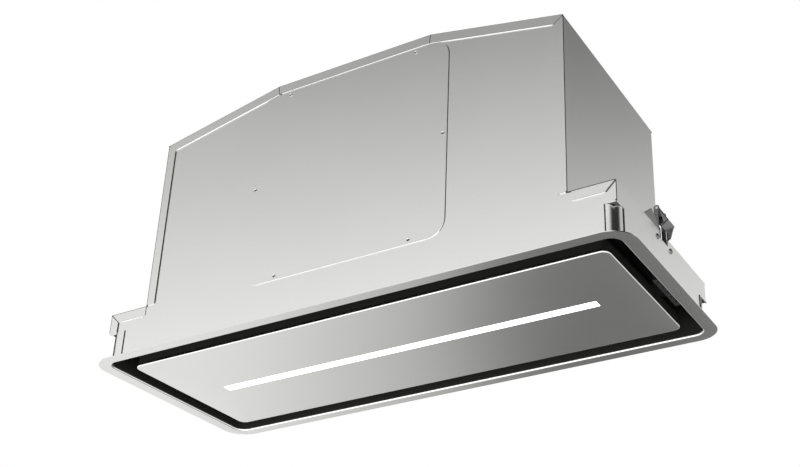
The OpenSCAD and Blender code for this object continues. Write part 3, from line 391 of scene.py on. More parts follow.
# One geometry tree: named float inputs, set by identifier, and a last Realize Instances and Set Material
def grow(name, points, edges, build, inputs, finish, attributes=None):
    mesh = bpy.data.meshes.new(name + "Seed")
    mesh.from_pydata(points, edges, [])
    for key, values in (attributes or {}).items():
        flat = [v for row in values for v in row]
        mesh.attributes.new(key, "FLOAT_VECTOR", "POINT").data.foreach_set("vector", flat)
    seed = bpy.data.objects.new(name + "Seed", mesh)
    bpy.context.scene.collection.objects.link(seed)
    tree = bpy.data.node_groups.new(name, "GeometryNodeTree")
    tree.interface.new_socket("Geometry", in_out="INPUT", socket_type="NodeSocketGeometry")
    tree.interface.new_socket("Geometry", in_out="OUTPUT", socket_type="NodeSocketGeometry")
    named = {}
    for key, value in inputs.items():
        kind = "NodeSocketInt" if isinstance(value, int) else "NodeSocketFloat"
        named[key] = tree.interface.new_socket(key, in_out="INPUT", socket_type=kind).identifier
    graph = Graph(tree)
    entry = tree.nodes.new("NodeGroupInput")
    given = {key: Wire(graph, entry.outputs[key]) for key in inputs}
    shape = build(graph, Wire(graph, entry.outputs["Geometry"]), given)
    shape = graph.add("GeometryNodeRealizeInstances", None, {"Geometry": shape})
    shape = graph.add("GeometryNodeSetMaterial", None, {"Geometry": shape, "Material": finishes[finish]})
    leave = tree.nodes.new("NodeGroupOutput")
    graph.join(leave.inputs["Geometry"], shape)
    modifier = seed.modifiers.new(name, "NODES")
    modifier.node_group = tree
    for key, identifier in named.items():
        modifier[identifier] = inputs[key]
    bpy.context.view_layer.update()
    grown = seed.evaluated_get(bpy.context.evaluated_depsgraph_get())
    result = bpy.data.objects.new(name, bpy.data.meshes.new_from_object(grown))
    bpy.data.objects.remove(seed)
    bpy.context.scene.collection.objects.link(result)
    tidyMesh(result)
    return result


# The nearest two vertices may be, in metres, and the sharpest angle shaded smooth, in degrees
meshTidy = {"merge": 0.000005, "angle": 32}


def tidyMesh(thing):
    work = bmesh.new()
    work.from_mesh(thing.data)
    bmesh.ops.remove_doubles(work, verts=work.verts, dist=meshTidy["merge"])
    bmesh.ops.recalc_face_normals(work, faces=work.faces)
    work.to_mesh(thing.data)
    work.free()
    thing.data.shade_smooth()
    thing.data.set_sharp_from_angle(angle=math.radians(meshTidy["angle"]))


def inMetres(points):
    return [tuple(v * mm for v in point) for point in points]


# The casing's outline seen from the front, as the sheet's source draws it
casing = {"collarX": 335, "collarLow": 1.9, "collarHigh": 65, "bodyX": 280.5, "shoulder": 295,
          "crownX": 109.5, "top": 330, "lip": 12, "frontY": -128.5, "sheet": 0.8}
# Hems: the gap at a mitre, how far one goes on past the body at each ledge, and the short one on the ledge
hem = {"in": 0.1, "mitreGap": 3.2, "onward": 1.4, "pastRight": 6, "pastLeft": 2, "ledgeLong": 10,
       "ledgeUp": 0.3}
# Seams, cuts and gaps: how far in from the outline they run, and where they stop
fold = {"seamIn": 0.3, "seamFoot": 41, "cutIn": 0.9, "crownCut": 3.2, "gapIn": 0.3, "gapFoot": 40,
        "gapShort": 2}
# Upright edges: rounded corners as place, foot and head, then the corner cuts, slots and narrowing strips
upright = {"radius": 0.62, "cornerIn": 0.78, "low": 2.5, "high": 39.6,
           "corners": [(casing["bodyX"], 66, 294.5), (casing["collarX"], 41, 64.5)],
           "cutX": 321, "cutY": 111.5, "cutIn": 0.25, "slotX": 310.5, "slotY": 106, "slotIn": 0.25,
           "slotRadius": 1.0, "slotLow": 9.4, "narrow": 2.2, "shadeOut": 0.4, "stripOver": 0.1,
           "stripUp": 0.4}


def casingOutline():
    c = casing
    right = [(c["collarX"], c["collarLow"]), (c["collarX"], c["collarHigh"]), (c["bodyX"], c["collarHigh"]),
             (c["bodyX"], c["shoulder"]), (c["crownX"], c["top"])]
    return [Vector(p) for p in right] + [Vector((-x, z)) for x, z in reversed(right)]


# The outline moved inward by a distance, with its corners mitred
def movedIn(outline, distance):
    inward = []
    for first, second in zip(outline, outline[1:]):
        along = (second - first).normalized()
        inward.append(Vector((-along.y, along.x)))
    moved = []
    for index, point in enumerate(outline):
        before, after = inward[max(0, index - 1)], inward[min(index, len(inward) - 1)]
        moved.append(point + (before + after) * distance / (1 + before.dot(after)))
    return moved


# Rolled hems along the inner edges of the folded lips: each is one straight run
def hemRuns():
    inner = movedIn(casingOutline(), casing["lip"] + hem["in"])
    bodyX, ledge = casing["bodyX"], inner[1].y
    up = casing["collarHigh"] + hem["ledgeUp"]
    return [
        (inner[3], inner[4]),
        trimmed(inner[4], inner[5], hem["mitreGap"], hem["mitreGap"]),
        trimmed(inner[5], inner[6], -hem["onward"], hem["mitreGap"] - hem["onward"]),
        (inner[1], Vector((bodyX + hem["pastRight"], ledge))),
        (Vector((-bodyX - hem["pastLeft"], ledge)), inner[8]),
        (Vector((bodyX - hem["ledgeLong"], up)), Vector((bodyX, up))),
    ]


# Thin dark beads along the folded outer edges: painted shade for the seams' shadow lines
def seamRuns():
    edge = movedIn(casingOutline(), fold["seamIn"])
    runs = [(edge[k], edge[k + 1]) for k in range(3, 8)]
    return runs + [(edge[8], Vector((edge[8].x, fold["seamFoot"])))]


# Dark beads at the cuts where the top cover's lip ends at the right shoulder and beside the left crown mitre:
# painted shade in the cuts
def cutRuns():
    outline = casingOutline()
    edge, inner = movedIn(outline, fold["cutIn"]), movedIn(outline, casing["lip"])
    crown = (inner[5], inner[5] + (inner[4] - inner[5]).normalized() * fold["crownCut"])
    return [(edge[3], inner[3]), crown]


# Dark beads on the folded lips, painted shade for the gaps: the open mitres, the left lips' edges and the
# right ledge's upper edge
def gapRuns():
    outline = casingOutline()
    edge, inner = movedIn(outline, fold["gapIn"]), movedIn(outline, casing["lip"])
    runs = [(edge[k], inner[k]) for k in (1, 4, 5, 8)] + [(edge[1], edge[2])]
    low = Vector((inner[6].x, casing["collarHigh"] + fold["gapShort"]))
    runs.append((low, inner[6] - Vector((0, fold["gapShort"]))))
    runs.append((Vector((inner[8].x, fold["gapFoot"])), inner[8]))
    return runs


def upward(x, y, low, high):
    return (x, y, low), (x, y, high)


# Dark beads painted as shade along the upright edges: the right end's rounded corners and the sides of the
# corner cuts
def uprightRuns():
    u, wallY = upright, casing["frontY"]
    runs = []
    for face in (1, -1):
        for x, low, high in u["corners"]:
            runs.append(upward(x - u["cornerIn"], face * (wallY + u["cornerIn"]), low, high))
        for side in (1, -1):
            cutX = u["cutX"] + (u["narrow"] if side * face < 0 else 0)
            endX = casing["collarX"] - u["cutIn"]
            runs.append(upward(side * cutX, face * (wallY + u["cutIn"]), u["low"], u["high"]))
            runs.append(upward(side * endX, face * u["cutY"], u["low"], u["high"]))
    return runs


# Black beads painted as the shade in the slots beside the corner cuts, and along the edges of the two strips
# that narrow a cut
def slotRuns():
    u = upright
    wallY = casing["frontY"] + u["slotIn"]
    places = [(turn * x, turn * y) for turn in (1, -1)
              for x, y in ((-u["slotX"], wallY), (casing["collarX"], u["slotY"]))]
    runs = [upward(x, y, u["slotLow"], u["high"]) for x, y in places]
    for turn in (1, -1):
        shadeX = -u["cutX"] - u["shadeOut"] - u["narrow"]
        runs.append(upward(turn * shadeX, turn * wallY, u["low"], u["high"]))
    return runs


def trimmed(first, second, start, end):
    along = (second - first).normalized()
    return first + along * start, second - along * end


def hemBuild(graph, geometry, given):
    path = graph.add("GeometryNodeMeshToCurve", None, {"Mesh": geometry})
    ring = graph.add("GeometryNodeCurvePrimitiveCircle", None, {"Resolution": 14, "Radius": given["Radius"]})
    return graph.add("GeometryNodeCurveToMesh", None,
                     {"Curve": path, "Profile Curve": ring, "Fill Caps": True})


# Round beads along the edges between points
def addBeads(name, points, edges, radius, finish):
    beads = grow(name, inMetres(points), edges, hemBuild, {"Radius": radius * mm}, finish)
    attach(beads, "casing")


# Beads along straight runs, each given by its two ends
def addRuns(name, runs, radius, finish):
    points = [end for run in runs for end in run]
    edges = [(k, k + 1) for k in range(0, len(points), 2)]
    addBeads(name, points, edges, radius, finish)


# The beads along the casing's folds: their radius, how far they stand proud and what their ends lose
foldBeads = [
    {"name": "lipHems", "runs": hemRuns, "radius": 0.68, "proud": 0.25, "trim": 1.4, "finish": "satinWall"},
    {"name": "seamShadowBeads", "runs": seamRuns, "radius": 0.42, "proud": 0.25, "trim": 0.2,
     "finish": "seamShadeSteel"},
    {"name": "lipCutShadowBeads", "runs": cutRuns, "radius": 0.6, "proud": 0.12, "trim": 0.0, "finish": "clampShadeSteel"},
    {"name": "gapShadowBeads", "runs": gapRuns, "radius": 0.6, "proud": 0.3, "trim": 0.2, "finish": "gapShadeSteel"},
]


# The runs of one kind on the front and on the rear wall
def onFaces(facts):
    runs = []
    for face in (1, -1):
        y = (casing["frontY"] - casing["sheet"] + facts["radius"] - facts["proud"]) * face
        for first, second in facts["runs"]():
            runs.append([(x, y, z) for x, z in trimmed(first, second, facts["trim"], facts["trim"])])
    return runs


# Access cover: the plate stays the node's, two of its edges get a rolled hem and, beside it, a dark bead of
# painted shade for the gap
cover = {"halfWidth": 135, "low": 54, "high": 316, "corner": 22, "steps": 10, "topStart": 5, "radius": 0.7,
         "inset": 0.35, "proud": 0.12, "gapOut": 0.75, "gapRadius": 0.5, "gapDeep": 0.35}


# The cover's outline moved outward by a distance
def coverLoop(out):
    c = cover
    halfWidth, low, high, corner = c["halfWidth"] + out, c["low"] - out, c["high"] + out, c["corner"] + out
    loop = []
    centres = [(halfWidth - corner, high - corner, 0), (-halfWidth + corner, high - corner, 90),
               (-halfWidth + corner, low + corner, 180), (halfWidth - corner, low + corner, 270)]
    for x, z, start in centres:
        for step in range(c["steps"] + 1):
            a = math.radians(start + 90 * step / c["steps"])
            loop.append((x + corner * math.cos(a), z + corner * math.sin(a)))
    return loop


# A bead from a place on the loop up the right side
def addCoverBead(name, loop, first, y, radius, finish):
    points = [(x, y, z) for x, z in loop[first:] + loop[:cover["topStart"]]]
    edges = [(k, k + 1) for k in range(len(points) - 1)]
    addBeads(name, points, edges, radius, finish)


# The hem takes in the bottom, the gap starts in the middle of the lower right corner
def addCoverHem():
    c = cover
    lastCorner = 3 * (c["steps"] + 1)
    y = casing["frontY"] - casing["sheet"] + c["radius"] - c["proud"]
    addCoverBead("coverHem", coverLoop(-c["inset"]), lastCorner - 1, y, c["radius"], "satinWall")
    addCoverBead("coverGapShadow", coverLoop(c["gapOut"] - c["inset"]), lastCorner + c["steps"] // 2,
                 y + c["gapDeep"], c["gapRadius"], "gapShadeSteel")


# Small black discs where three bends meet: painted shade for the relief holes
relief = {"radius": 0.9, "depth": 0.3, "proud": 0.02,
          "places": [(-280.0, 294.3), (280.0, 294.0), (-334.2, 64.2), (-279.8, 66.2), (279.9, 65.6),
                     (334.2, 40.8)]}


def discBuild(graph, geometry, given):
    disc = graph.cylinder(16, given["Radius"], given["Depth"])
    return graph.placed(geometry, disc, (math.pi / 2, 0, 0))


def addReliefs():
    y = casing["frontY"] - casing["sheet"] - relief["proud"]
    points = [(x, y * face, z) for x, z in relief["places"] for face in (1, -1)]
    dots = grow("bendReliefShadows", inMetres(points), [], discBuild,
                {"Radius": relief["radius"] * mm, "Depth": relief["depth"] * mm}, "blackPaint")
    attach(dots, "casing")


# Sloped webs that close the corners between the upstand and the walls, above the corner cuts, in near-black
# steel as painted shade
cornerWeb = {"x": 334.15, "y": 127.65, "low": 39.9, "high": 44.0, "lowRadius": 14.95, "highRadius": 2.5,
             "thick": 0.8, "foldUp": 0.3, "steps": 12}


def addCornerWebs():
    c = cornerWeb
    points, faces = [], []
    for sx, sy in ((1, 1), (1, -1), (-1, 1), (-1, -1)):
        start = len(points)
        for step in range(c["steps"] + 1):
            a = math.pi / 2 * step / c["steps"]
            for corner, z in ((c["lowRadius"], c["low"]), (c["highRadius"], c["high"])):
                for radius, up in ((corner, 0), (corner - c["thick"], c["foldUp"])):
                    points.append((sx * (c["x"] - corner + radius * math.cos(a)),
                                   sy * (c["y"] - corner + radius * math.sin(a)), z + up))
        for step in range(c["steps"]):
            a, b = start + 4 * step, start + 4 * step + 4
            faces += [(a, b, b + 2, a + 2), (a + 1, a + 3, b + 3, b + 1), (a, a + 1, b + 1, b),
                      (a + 2, b + 2, b + 3, a + 3)]
        last = start + 4 * c["steps"]
        faces += [(start, start + 2, start + 3, start + 1), (last, last + 1, last + 3, last + 2)]
    makePiece("cornerWebs", inMetres(points), faces, "gapShadeSteel", "casing")


# Each clamp's leaf goes on under its knee, back to the wall, with a web at one side. A black plate fills
# the clamp's window as painted shade.
leaf = {"pinX": 332.3, "pinZ": 95.0, "half": 9.15, "webThick": 1.2,
        "web": [(2.0, -0.4), (12.3, -17.6), (8.4, -21.3), (4.2, -23.8), (4.2, -21.2), (7.8, -20.9)],
        "sole": [(8.8, -20.2), (8.4, -21.3), (4.1, -23.9), (3.6, -22.9)],
        "windowShade": [(-4.0, -33.0), (-3.15, -33.0), (-3.15, -16.0), (-4.0, -16.0)], "windowShadeY": (-10.4, 7.4)}


# A flat shape in the clamp's plane, given thickness along Y and turned with its clamp
def clampPlate(name, shape, low, high, turn, finish, body, slot):
    count = len(shape)
    points = [(turn * (leaf["pinX"] + x), turn * y, leaf["pinZ"] + z) for y in (low, high) for x, z in shape]
    faces = [tuple(range(count)), tuple(range(2 * count - 1, count - 1, -1))]
    faces += [(k, k + count, (k + 1) % count + count, (k + 1) % count) for k in range(count)]
    makePiece(name, inMetres(points), faces, finish, body)


def addLeafParts():
    for turn, side in ((1, "right"), (-1, "left")):
        body = "claw_" + side
        clampPlate("leafWeb." + side, leaf["web"], -leaf["half"], leaf["webThick"] - leaf["half"], turn,
                   "springSteel", body, "spring_steel")
        clampPlate("leafSole." + side, leaf["sole"], -leaf["half"], leaf["half"], turn, "springSteel", body,
                   "spring_steel")
        clampPlate("clampWindowShade." + side, leaf["windowShade"], *leaf["windowShadeY"], turn, "blackPaint", "casing",
                   "black_paint")


def makePiece(name, points, faces, finish, body):
    mesh = bpy.data.meshes.new(name)
    mesh.from_pydata(points, [], faces)
    thing = bpy.data.objects.new(name, mesh)
    bpy.context.scene.collection.objects.link(thing)
    tidyMesh(thing)
    dress(thing, finish)
    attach(thing, body)


# Edge strips that narrow the near left and far right corner cuts
def addCutStrips():
    u = upright
    across = (-u["cutX"] - u["narrow"], u["stripOver"] - u["cutX"])
    through = (casing["frontY"], casing["frontY"] + casing["sheet"])
    points, faces = [], []
    for face in (1, -1):
        s = len(points)
        points += [(face * x, face * y, z) for x in across for y in through
                   for z in (u["low"], u["high"] + u["stripUp"])]
        faces += [(s, s + 1, s + 3, s + 2), (s + 4, s + 6, s + 7, s + 5), (s, s + 4, s + 5, s + 1),
                  (s + 2, s + 3, s + 7, s + 6), (s, s + 2, s + 6, s + 4), (s + 1, s + 5, s + 7, s + 3)]
    makePiece("cutStrips", inMetres(points), faces, "satinWall", "casing")


addCornerWebs()
addCutStrips()
addLeafParts()
addRuns("uprightEdgeShadows", uprightRuns(), upright["radius"], "gapShadeSteel")
addRuns("slotShadowBeads", slotRuns(), upright["slotRadius"], "blackPaint")
for facts in foldBeads:
    addRuns(facts["name"], onFaces(facts), facts["radius"], facts["finish"])
addCoverHem()
addReliefs()
print("hems and bend reliefs grown")


# Points nearer than this count as one, in metres
nearby = 0.00002


# Splits a node into its separate solids and gives the vertices of each
def looseParts(name):
    mesh = nodes[name].data
    leader = {}

    def find(key):
        while leader[key] != key:
            leader[key] = leader[leader[key]]
            key = leader[key]
        return key

    keys = [tuple(round(v / nearby) for v in vertex.co) for vertex in mesh.vertices]
    for key in keys:
        leader[key] = key
    for face in mesh.polygons:
        first = find(keys[face.vertices[0]])
        for other in face.vertices[1:]:
            leader[find(keys[other])] = first
    groups = {}
    for key, vertex in zip(keys, mesh.vertices):
        groups.setdefault(find(key), []).append(vertex.co.copy())
    return list(groups.values())


# For a screw's vertices: the outer end of its head, the way it points and its sizes
def readScrew(points):
    low = [min(p[k] for p in points) for k in range(3)]
    high = [max(p[k] for p in points) for k in range(3)]
    size = [b - a for a, b in zip(low, high)]
    others = {k: (size[(k + 1) % 3], size[(k + 2) % 3]) for k in range(3)}
    axis = max(others, key=lambda k: min(abs(size[k] - other) for other in others[k]))
    middle = [(a + b) / 2 for a, b in zip(low, high)]

    def spread(end):
        near = [p for p in points if abs(p[axis] - end) < nearby]
        return max(math.hypot(*(p[k] - middle[k] for k in range(3) if k != axis)) for p in near)

    sign = 1 if spread(high[axis]) > spread(low[axis]) else -1
    top = list(middle)
    top[axis] = high[axis] if sign > 0 else low[axis]
    way = [0, 0, 0]
    way[axis] = sign
    across = size[(axis + 1) % 3]
    return top, way, across, size[axis]


# A cross-head screw and a dished rivet, as shares of the head's radius and height
screwHead = {"rim": 0.45, "dome": 0.62, "domeWide": 0.96, "crossLong": 1.05, "crossWide": 0.26}
rivetHead = {"wide": 0.9, "hole": 0.5, "lip": 0.94, "floor": 0.1, "dish": 0.85}
rivetShadeDisc = {"wide": 0.52, "thick": 0.2, "deep": 0.7}


def shankShape(graph, given):
    shank = graph.cylinder(20, given["ShankRadius"], given["Length"] - given["HeadHeight"])
    return graph.lifted(shank, (given["Length"] + given["HeadHeight"]) * -0.5)


# A fastener along +Z with the top of its head at zero: washer face, dome with a cross recess, and shank
def fastenerBuild(graph, geometry, given):
    radius, headHigh = given["HeadRadius"], given["HeadHeight"]
    h = screwHead
    rim = graph.lifted(graph.cylinder(32, radius, headHigh * h["rim"]), headHigh * (h["rim"] / 2 - 1))
    dome = graph.add("GeometryNodeMeshUVSphere", None, {"Segments": 32, "Rings": 14, "Radius": 1.0})
    wide = radius * h["domeWide"]
    dome = graph.add("GeometryNodeTransform", None,
                     {"Geometry": dome, "Translation": graph.xyz(0, 0, headHigh * -h["dome"]),
                      "Scale": graph.xyz(wide, wide, headHigh * h["dome"])})
    size = graph.xyz(radius * h["crossLong"], radius * h["crossWide"], given["Recess"])
    tool = graph.add("GeometryNodeMeshCube", None, {"Size": size})
    crossed = graph.add("GeometryNodeTransform", None, {"Geometry": tool, "Rotation": (0, 0, math.pi / 2)})
    head = graph.boolean("DIFFERENCE", dome, [tool, crossed])
    whole = graph.merge([rim, head, shankShape(graph, given)])
    return graph.placed(geometry, whole, graph.named("turn"))


# A rivet with a dished head, open down the middle
def rivetBuild(graph, geometry, given):
    radius, headHigh = given["HeadRadius"] * rivetHead["wide"], given["HeadHeight"]
    hole, lip = radius * rivetHead["hole"], radius * rivetHead["lip"]

    def cone(lower, upper, high, low):
        shape = graph.add("GeometryNodeMeshCone", {"fill_type": "NONE"},
                          {"Vertices": 32, "Radius Bottom": lower, "Radius Top": upper, "Depth": high})
        return graph.lifted(shape, low)

    floor = graph.cylinder(32, radius, headHigh * rivetHead["floor"])
    floor = graph.lifted(floor, headHigh * (rivetHead["floor"] / 2 - 1))
    flank = cone(radius, lip, headHigh, headHigh * -1.0)
    dish = cone(hole, lip, headHigh * rivetHead["dish"], headHigh * -rivetHead["dish"])
    whole = graph.merge([floor, flank, dish, shankShape(graph, given)])
    return graph.placed(geometry, whole, graph.named("turn"))


# The black disc down in a rivet's head: painted shade in its open middle
def rivetShadeDiscBuild(graph, geometry, given):
    radius, headHigh = given["HeadRadius"], given["HeadHeight"]
    disc = graph.cylinder(24, radius * rivetShadeDisc["wide"], headHigh * rivetShadeDisc["thick"])
    disc = graph.lifted(disc, headHigh * -rivetShadeDisc["deep"])
    return graph.placed(geometry, disc, graph.named("turn"))


fasteners = {
    "cover_screws": {"shank": 1.2, "headHigh": 0.8, "build": rivetBuild, "hole": rivetShadeDiscBuild},
    "clamp_screws": {"shank": 1.7, "headHigh": 1.8, "recess": 1.6, "finish": "springSteel"},
    "motor_screws": {"shank": 1.7, "headHigh": 1.8, "recess": 1.6},
    "blower_screws": {"shank": 1.7, "headHigh": 1.8, "recess": 1.6},
    "collar_screws": {"shank": 1.7, "headHigh": 1.8, "recess": 1.6},
}


def addFasteners(name, facts):
    tops, turns = [], []
    for part in looseParts(name):
        top, way, across, length = readScrew(part)
        tops.append(tuple(top))
        turns.append(tuple(Vector(way).to_track_quat("Z", "Y").to_euler()))
    head = {"HeadRadius": across / 2, "HeadHeight": facts["headHigh"] * mm}
    inputs = {**head, "ShankRadius": facts["shank"] * mm, "Length": length}
    if "recess" in facts:
        inputs["Recess"] = facts["recess"] * mm
    prefix = name.split("_")[0]
    grown = grow(prefix + "Fasteners", tops, [], facts.get("build", fastenerBuild), inputs,
                 facts.get("finish", "zincHardware"), {"turn": turns})
    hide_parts(name)
    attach(grown, "casing")
    # The rivets' black discs are painted shade in their open middles
    if "hole" in facts:
        holeShades = grow(prefix + "Holes", tops, [], facts["hole"], head, "blackPaint", {"turn": turns})
        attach(holeShades, "casing")


for name, facts in fasteners.items():
    addFasteners(name, facts)
print("fasteners grown")


# Impeller: forward-curved blades between two rolled rings on a ribbed disc. ringRound and ribHigh are shares.
fan = {"x": -68.4397, "z": 178.063, "radius": 74.0, "inner": 61.0, "length": 120.0, "lean": 14.0,
       "blade": 0.9, "blades": 36, "steps": 7, "bladeIn": 0.15, "ringWide": 5.0, "ringHigh": 3.0,
       "ringRound": 0.3, "disc": 2.0, "discIn": 0.3, "hub": 12.0, "hubLong": 20.0, "ribs": 9,
       "ribWide": 1.6, "ribHigh": 4.0}


# Copies of a shape, turned evenly round Z
def aroundAxis(graph, shape, count):
    places = graph.add("GeometryNodeMeshLine", None, {"Count": count, "Offset": (0, 0, 0)})
    angle = graph.add("GeometryNodeInputIndex") * (2 * math.pi) / count
    return graph.placed(places, shape, graph.xyz(0, 0, angle))


def bladeShape(graph, g):
    line = graph.add("GeometryNodeMeshLine", None, {"Count": g["Steps"] + 1.0, "Offset": (0, 0, 0)})
    share = graph.add("GeometryNodeInputIndex") / g["Steps"]
    reach = g["Inner"] + share * (g["Radius"] - g["Inner"] - fan["bladeIn"] * mm)
    swing = share * share * g["Lean"] * -1.0
    place = graph.xyz(reach * swing.maths("COSINE"), reach * swing.maths("SINE"), g["Length"] * -0.5)
    line = graph.add("GeometryNodeSetPosition", None, {"Geometry": line, "Position": place})
    sheet = graph.add("GeometryNodeExtrudeMesh", {"mode": "EDGES"},
                      {"Mesh": line, "Offset": graph.xyz(0, 0, 1), "Offset Scale": g["Length"]})
    thick = graph.add("GeometryNodeExtrudeMesh", {"mode": "FACES"},
                      {"Mesh": sheet, "Offset Scale": g["Blade"], "Individual": False})
    back = graph.add("GeometryNodeFlipFaces", None, {"Mesh": sheet})
    return graph.merge([thick, back])


def ringShape(graph, g, side):
    circle = graph.add("GeometryNodeCurvePrimitiveCircle", None,
                       {"Resolution": 128, "Radius": g["Radius"] - g["RingWide"] * 0.5})
    square = graph.add("GeometryNodeCurvePrimitiveQuadrilateral", None,
                       {"Width": g["RingWide"], "Height": g["RingHigh"]})
    square = graph.add("GeometryNodeFilletCurve", {"mode": "POLY"},
                       {"Curve": square, "Count": 4, "Radius": g["RingHigh"] * fan["ringRound"]})
    ring = graph.add("GeometryNodeCurveToMesh", None, {"Curve": circle, "Profile Curve": square})
    return graph.lifted(ring, (g["Length"] - g["RingHigh"]) * (0.5 * side))


def impellerBuild(graph, geometry, given):
    g = given
    size = graph.xyz(g["Inner"] - g["Hub"], fan["ribWide"] * mm, g["Disc"] * fan["ribHigh"])
    rib = graph.add("GeometryNodeMeshCube", None, {"Size": size})
    rib = graph.add("GeometryNodeTransform", None,
                    {"Geometry": rib, "Translation": graph.xyz((g["Inner"] + g["Hub"]) * 0.5, 0, 0)})
    wheel = graph.merge([
        aroundAxis(graph, bladeShape(graph, g), g["Blades"]),
        ringShape(graph, g, -1),
        ringShape(graph, g, 1),
        graph.cylinder(128, g["Radius"] - fan["discIn"] * mm, g["Disc"]),
        graph.cylinder(48, g["Hub"], g["HubLong"]),
        aroundAxis(graph, rib, g["Ribs"]),
    ])
    return graph.add("GeometryNodeTransform", None,
                     {"Geometry": wheel, "Rotation": (-math.pi / 2, 0, 0),
                      "Translation": graph.xyz(g["X"], 0, g["Z"])})


def addImpeller():
    inputs = {"Blades": fan["blades"], "Steps": fan["steps"], "Ribs": fan["ribs"],
              "Lean": math.radians(fan["lean"])}
    lengths = {"Radius": "radius", "Inner": "inner", "Length": "length", "Blade": "blade",
               "RingWide": "ringWide", "RingHigh": "ringHigh", "Disc": "disc", "Hub": "hub",
               "HubLong": "hubLong", "X": "x", "Z": "z"}
    for key, fact in lengths.items():
        inputs[key] = fan[fact] * mm
    wheel = grow("impellerWheel", [(0, 0, 0)], [], impellerBuild, inputs, "blackPlastic")
    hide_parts("impeller")
    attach(wheel, "rotor")


addImpeller()
print("impeller grown")


# Studio: white world, pale floor, soft lamps and a shell that only reflections see.
# The shell dims towards the ceiling, has a dark curtain at the right and a dark well below and behind.
# A pair of angles is where a change begins and where it is complete.
studio = {
    "floorDrop": 1.15, "floorSize": 2.0, "ambient": 0.85,
    "shellRadius": 4.5, "shellRings": 60, "shellSides": 120,
    "nearLevel": 1.06, "nearSlope": 0.045, "nearFrom": 25.0, "nearLeast": 0.03, "nearTop": 1.5,
    "nearGain": 0.38, "nearSides": (-150, -100), "nearEdge": (-45, -75), "backEdge": (150, 175),
    "endTop": 0.94, "endFrom": 23.0, "endTo": 41.0, "endLevel": 0.16,
    "curtainAzimuth": -18.0, "curtainHalf": 26.0, "curtainFade": 20.0, "curtainLevel": 0.05,
    "curtainFoot": (-12, 2), "lowLight": 1.9, "horizonRight": (0, -8), "horizonLeft": (0, -25),
    "wellKeys": [(40, 1.1), (62, 0.95), (84, 0.44), (96, 0.31), (106, 0.19), (112, 0.18), (116, 0.235),
                 (122, 0.57), (129, 0.75), (134, 0.93), (138, 0.98)],
    "wellSkew": 0.25, "wellMiddle": -26.0, "wellBand": (-32, -18),
}


def smooth(low, high, value):
    share = min(1.0, max(0.0, (value - low) / (high - low)))
    return share * share * (3 - 2 * share)


def mixed(first, second, share):
    return first + (second - first) * share


def between(keys, value):
    if value <= keys[0][0]:
        return keys[0][1]
    for (a, first), (b, second) in zip(keys, keys[1:]):
        if value <= b:
            return mixed(first, second, (value - a) / (b - a))
    return keys[-1][1]


# How bright the studio looks from the object towards an azimuth (-180 to 180) and an elevation, in degrees
def studioLevel(azimuth, elevation):
    s = studio
    near = s["nearLevel"] - s["nearSlope"] * (elevation - s["nearFrom"])
    near = min(s["nearTop"], max(s["nearLeast"], near))
    near *= 1 + s["nearGain"] * (smooth(*s["nearSides"], azimuth) - 0.5)
    end = mixed(s["endTop"], s["endLevel"], smooth(s["endFrom"], s["endTo"], elevation))
    nearShare = smooth(*s["nearEdge"], azimuth) if azimuth < 0 else smooth(*s["backEdge"], azimuth)
    level = mixed(end, near, nearShare)
    aside = abs((azimuth - s["curtainAzimuth"] + 180) % 360 - 180)
    dark = 1 - smooth(s["curtainHalf"], s["curtainHalf"] + s["curtainFade"], aside)
    level *= mixed(1.0, s["curtainLevel"], dark * smooth(*s["curtainFoot"], elevation))
    bandLow, bandHigh = s["wellBand"]
    skewed = azimuth + s["wellSkew"] * (min(bandHigh, max(bandLow, elevation)) - s["wellMiddle"])
    below = between(s["wellKeys"], skewed) if 0 < azimuth < s["backEdge"][1] else s["lowLight"]
    horizon = s["horizonRight"] if azimuth > 0 else s["horizonLeft"]
    return mixed(level, below, smooth(*horizon, elevation))


def setUpWorld():
    world = bpy.data.worlds.new("studio")
    bpy.context.scene.world = world
    world.use_nodes = True
    world.node_tree.nodes.clear()
    graph = Graph(world.node_tree)
    path = graph.tree.nodes.new("ShaderNodeLightPath")
    seen = (Wire(graph, path.outputs["Is Camera Ray"]) + Wire(graph, path.outputs["Is Glossy Ray"])
            + Wire(graph, path.outputs["Is Transmission Ray"]))
    white = graph.add("ShaderNodeBackground", None, {"Color": (1, 1, 1, 1), "Strength": 1.0})
    soft = graph.add("ShaderNodeBackground", None, {"Color": (1, 1, 1, 1), "Strength": studio["ambient"]})
    both = graph.add("ShaderNodeMixShader", None, {0: seen.maths("MINIMUM", 1.0), 1: soft, 2: white})
    graph.add("ShaderNodeOutputWorld", None, {"Surface": both})
    world.cycles.sampling_method = "NONE"


def addFloor():
    half, down = studio["floorSize"], -studio["floorDrop"]
    mesh = bpy.data.meshes.new("floor")
    mesh.from_pydata([(-half, -half, down), (half, -half, down), (half, half, down), (-half, half, down)], [],
                     [(0, 1, 2, 3)])
    floor = bpy.data.objects.new("floor", mesh)
    bpy.context.scene.collection.objects.link(floor)
    mesh.materials.append(makeMaterial("floorPale", skinRecipe, colour=(0.86, 0.86, 0.855, 1), roughness=0.9,
                                       bump=0.02))
    floor.visible_glossy = False


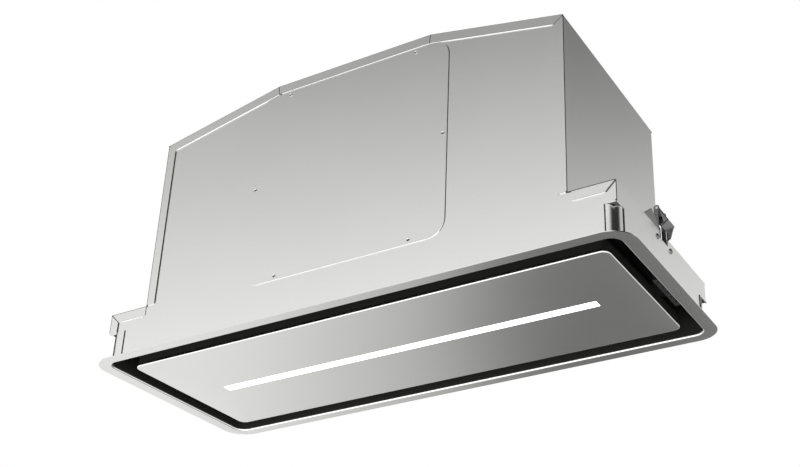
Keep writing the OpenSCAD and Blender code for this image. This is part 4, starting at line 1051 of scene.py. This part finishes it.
# The shell: a sphere that glows as the studio's walls and ceiling would, seen by glossy rays alone
def addReflectionShell():
    rings, sides, radius = studio["shellRings"], studio["shellSides"], studio["shellRadius"]
    points, levels, faces = [], [], []
    for ring in range(rings + 1):
        elevation = -90 + 180 * ring / rings
        for side in range(sides):
            azimuth = -180 + 360 * side / sides
            e, a = math.radians(elevation), math.radians(azimuth)
            points.append((radius * math.cos(e) * math.cos(a), radius * math.cos(e) * math.sin(a),
                           radius * math.sin(e)))
            levels.append(studioLevel(azimuth, elevation))
    for ring in range(rings):
        for side in range(sides):
            a, b = ring * sides + side, ring * sides + (side + 1) % sides
            faces.append((a, b, b + sides, a + sides))
    mesh = bpy.data.meshes.new("reflectionShell")
    mesh.from_pydata(points, [], faces)
    mesh.attributes.new("glow", "FLOAT", "POINT").data.foreach_set("value", levels)
    shell = bpy.data.objects.new("reflectionShell", mesh)
    bpy.context.scene.collection.objects.link(shell)
    material = bpy.data.materials.new("studioGlow")
    material.use_nodes = True
    material.node_tree.nodes.clear()
    graph = Graph(material.node_tree)
    glow = graph.add("ShaderNodeAttribute", {"attribute_name": "glow"}, None, "Fac")
    light = graph.add("ShaderNodeEmission", None, {"Color": (1, 1, 1, 1), "Strength": glow})
    graph.add("ShaderNodeOutputMaterial", None, {"Surface": light})
    material.cycles.emission_sampling = "NONE"
    mesh.materials.append(material)
    for kind in ("camera", "diffuse", "transmission", "volume_scatter", "shadow"):
        setattr(shell, "visible_" + kind, False)


lampAim = (0, 0, 0.12)
lamps = [
    {"name": "keyLamp", "place": (-1.3, -1.9, 2.0), "size": 1.6, "energy": 28},
    {"name": "fillLamp", "place": (1.8, -1.2, 1.2), "size": 1.6, "energy": 12},
    {"name": "lowLamp", "place": (-0.42, -0.72, -1.0), "size": 0.55, "energy": 9},
]


def addLamp(facts):
    data = bpy.data.lights.new(facts["name"], "AREA")
    data.size, data.energy = facts["size"], facts["energy"]
    lamp = bpy.data.objects.new(facts["name"], data)
    lamp.location = facts["place"]
    lamp.rotation_mode = "QUATERNION"
    lamp.rotation_quaternion = (Vector(lampAim) - Vector(facts["place"])).to_track_quat("-Z", "Y")
    lamp.visible_camera = False
    lamp.visible_glossy = False
    bpy.context.scene.collection.objects.link(lamp)


bpy.context.scene.view_settings.view_transform = "Standard"
setUpWorld()
addFloor()
addReflectionShell()
for facts in lamps:
    addLamp(facts)
print("studio ready")
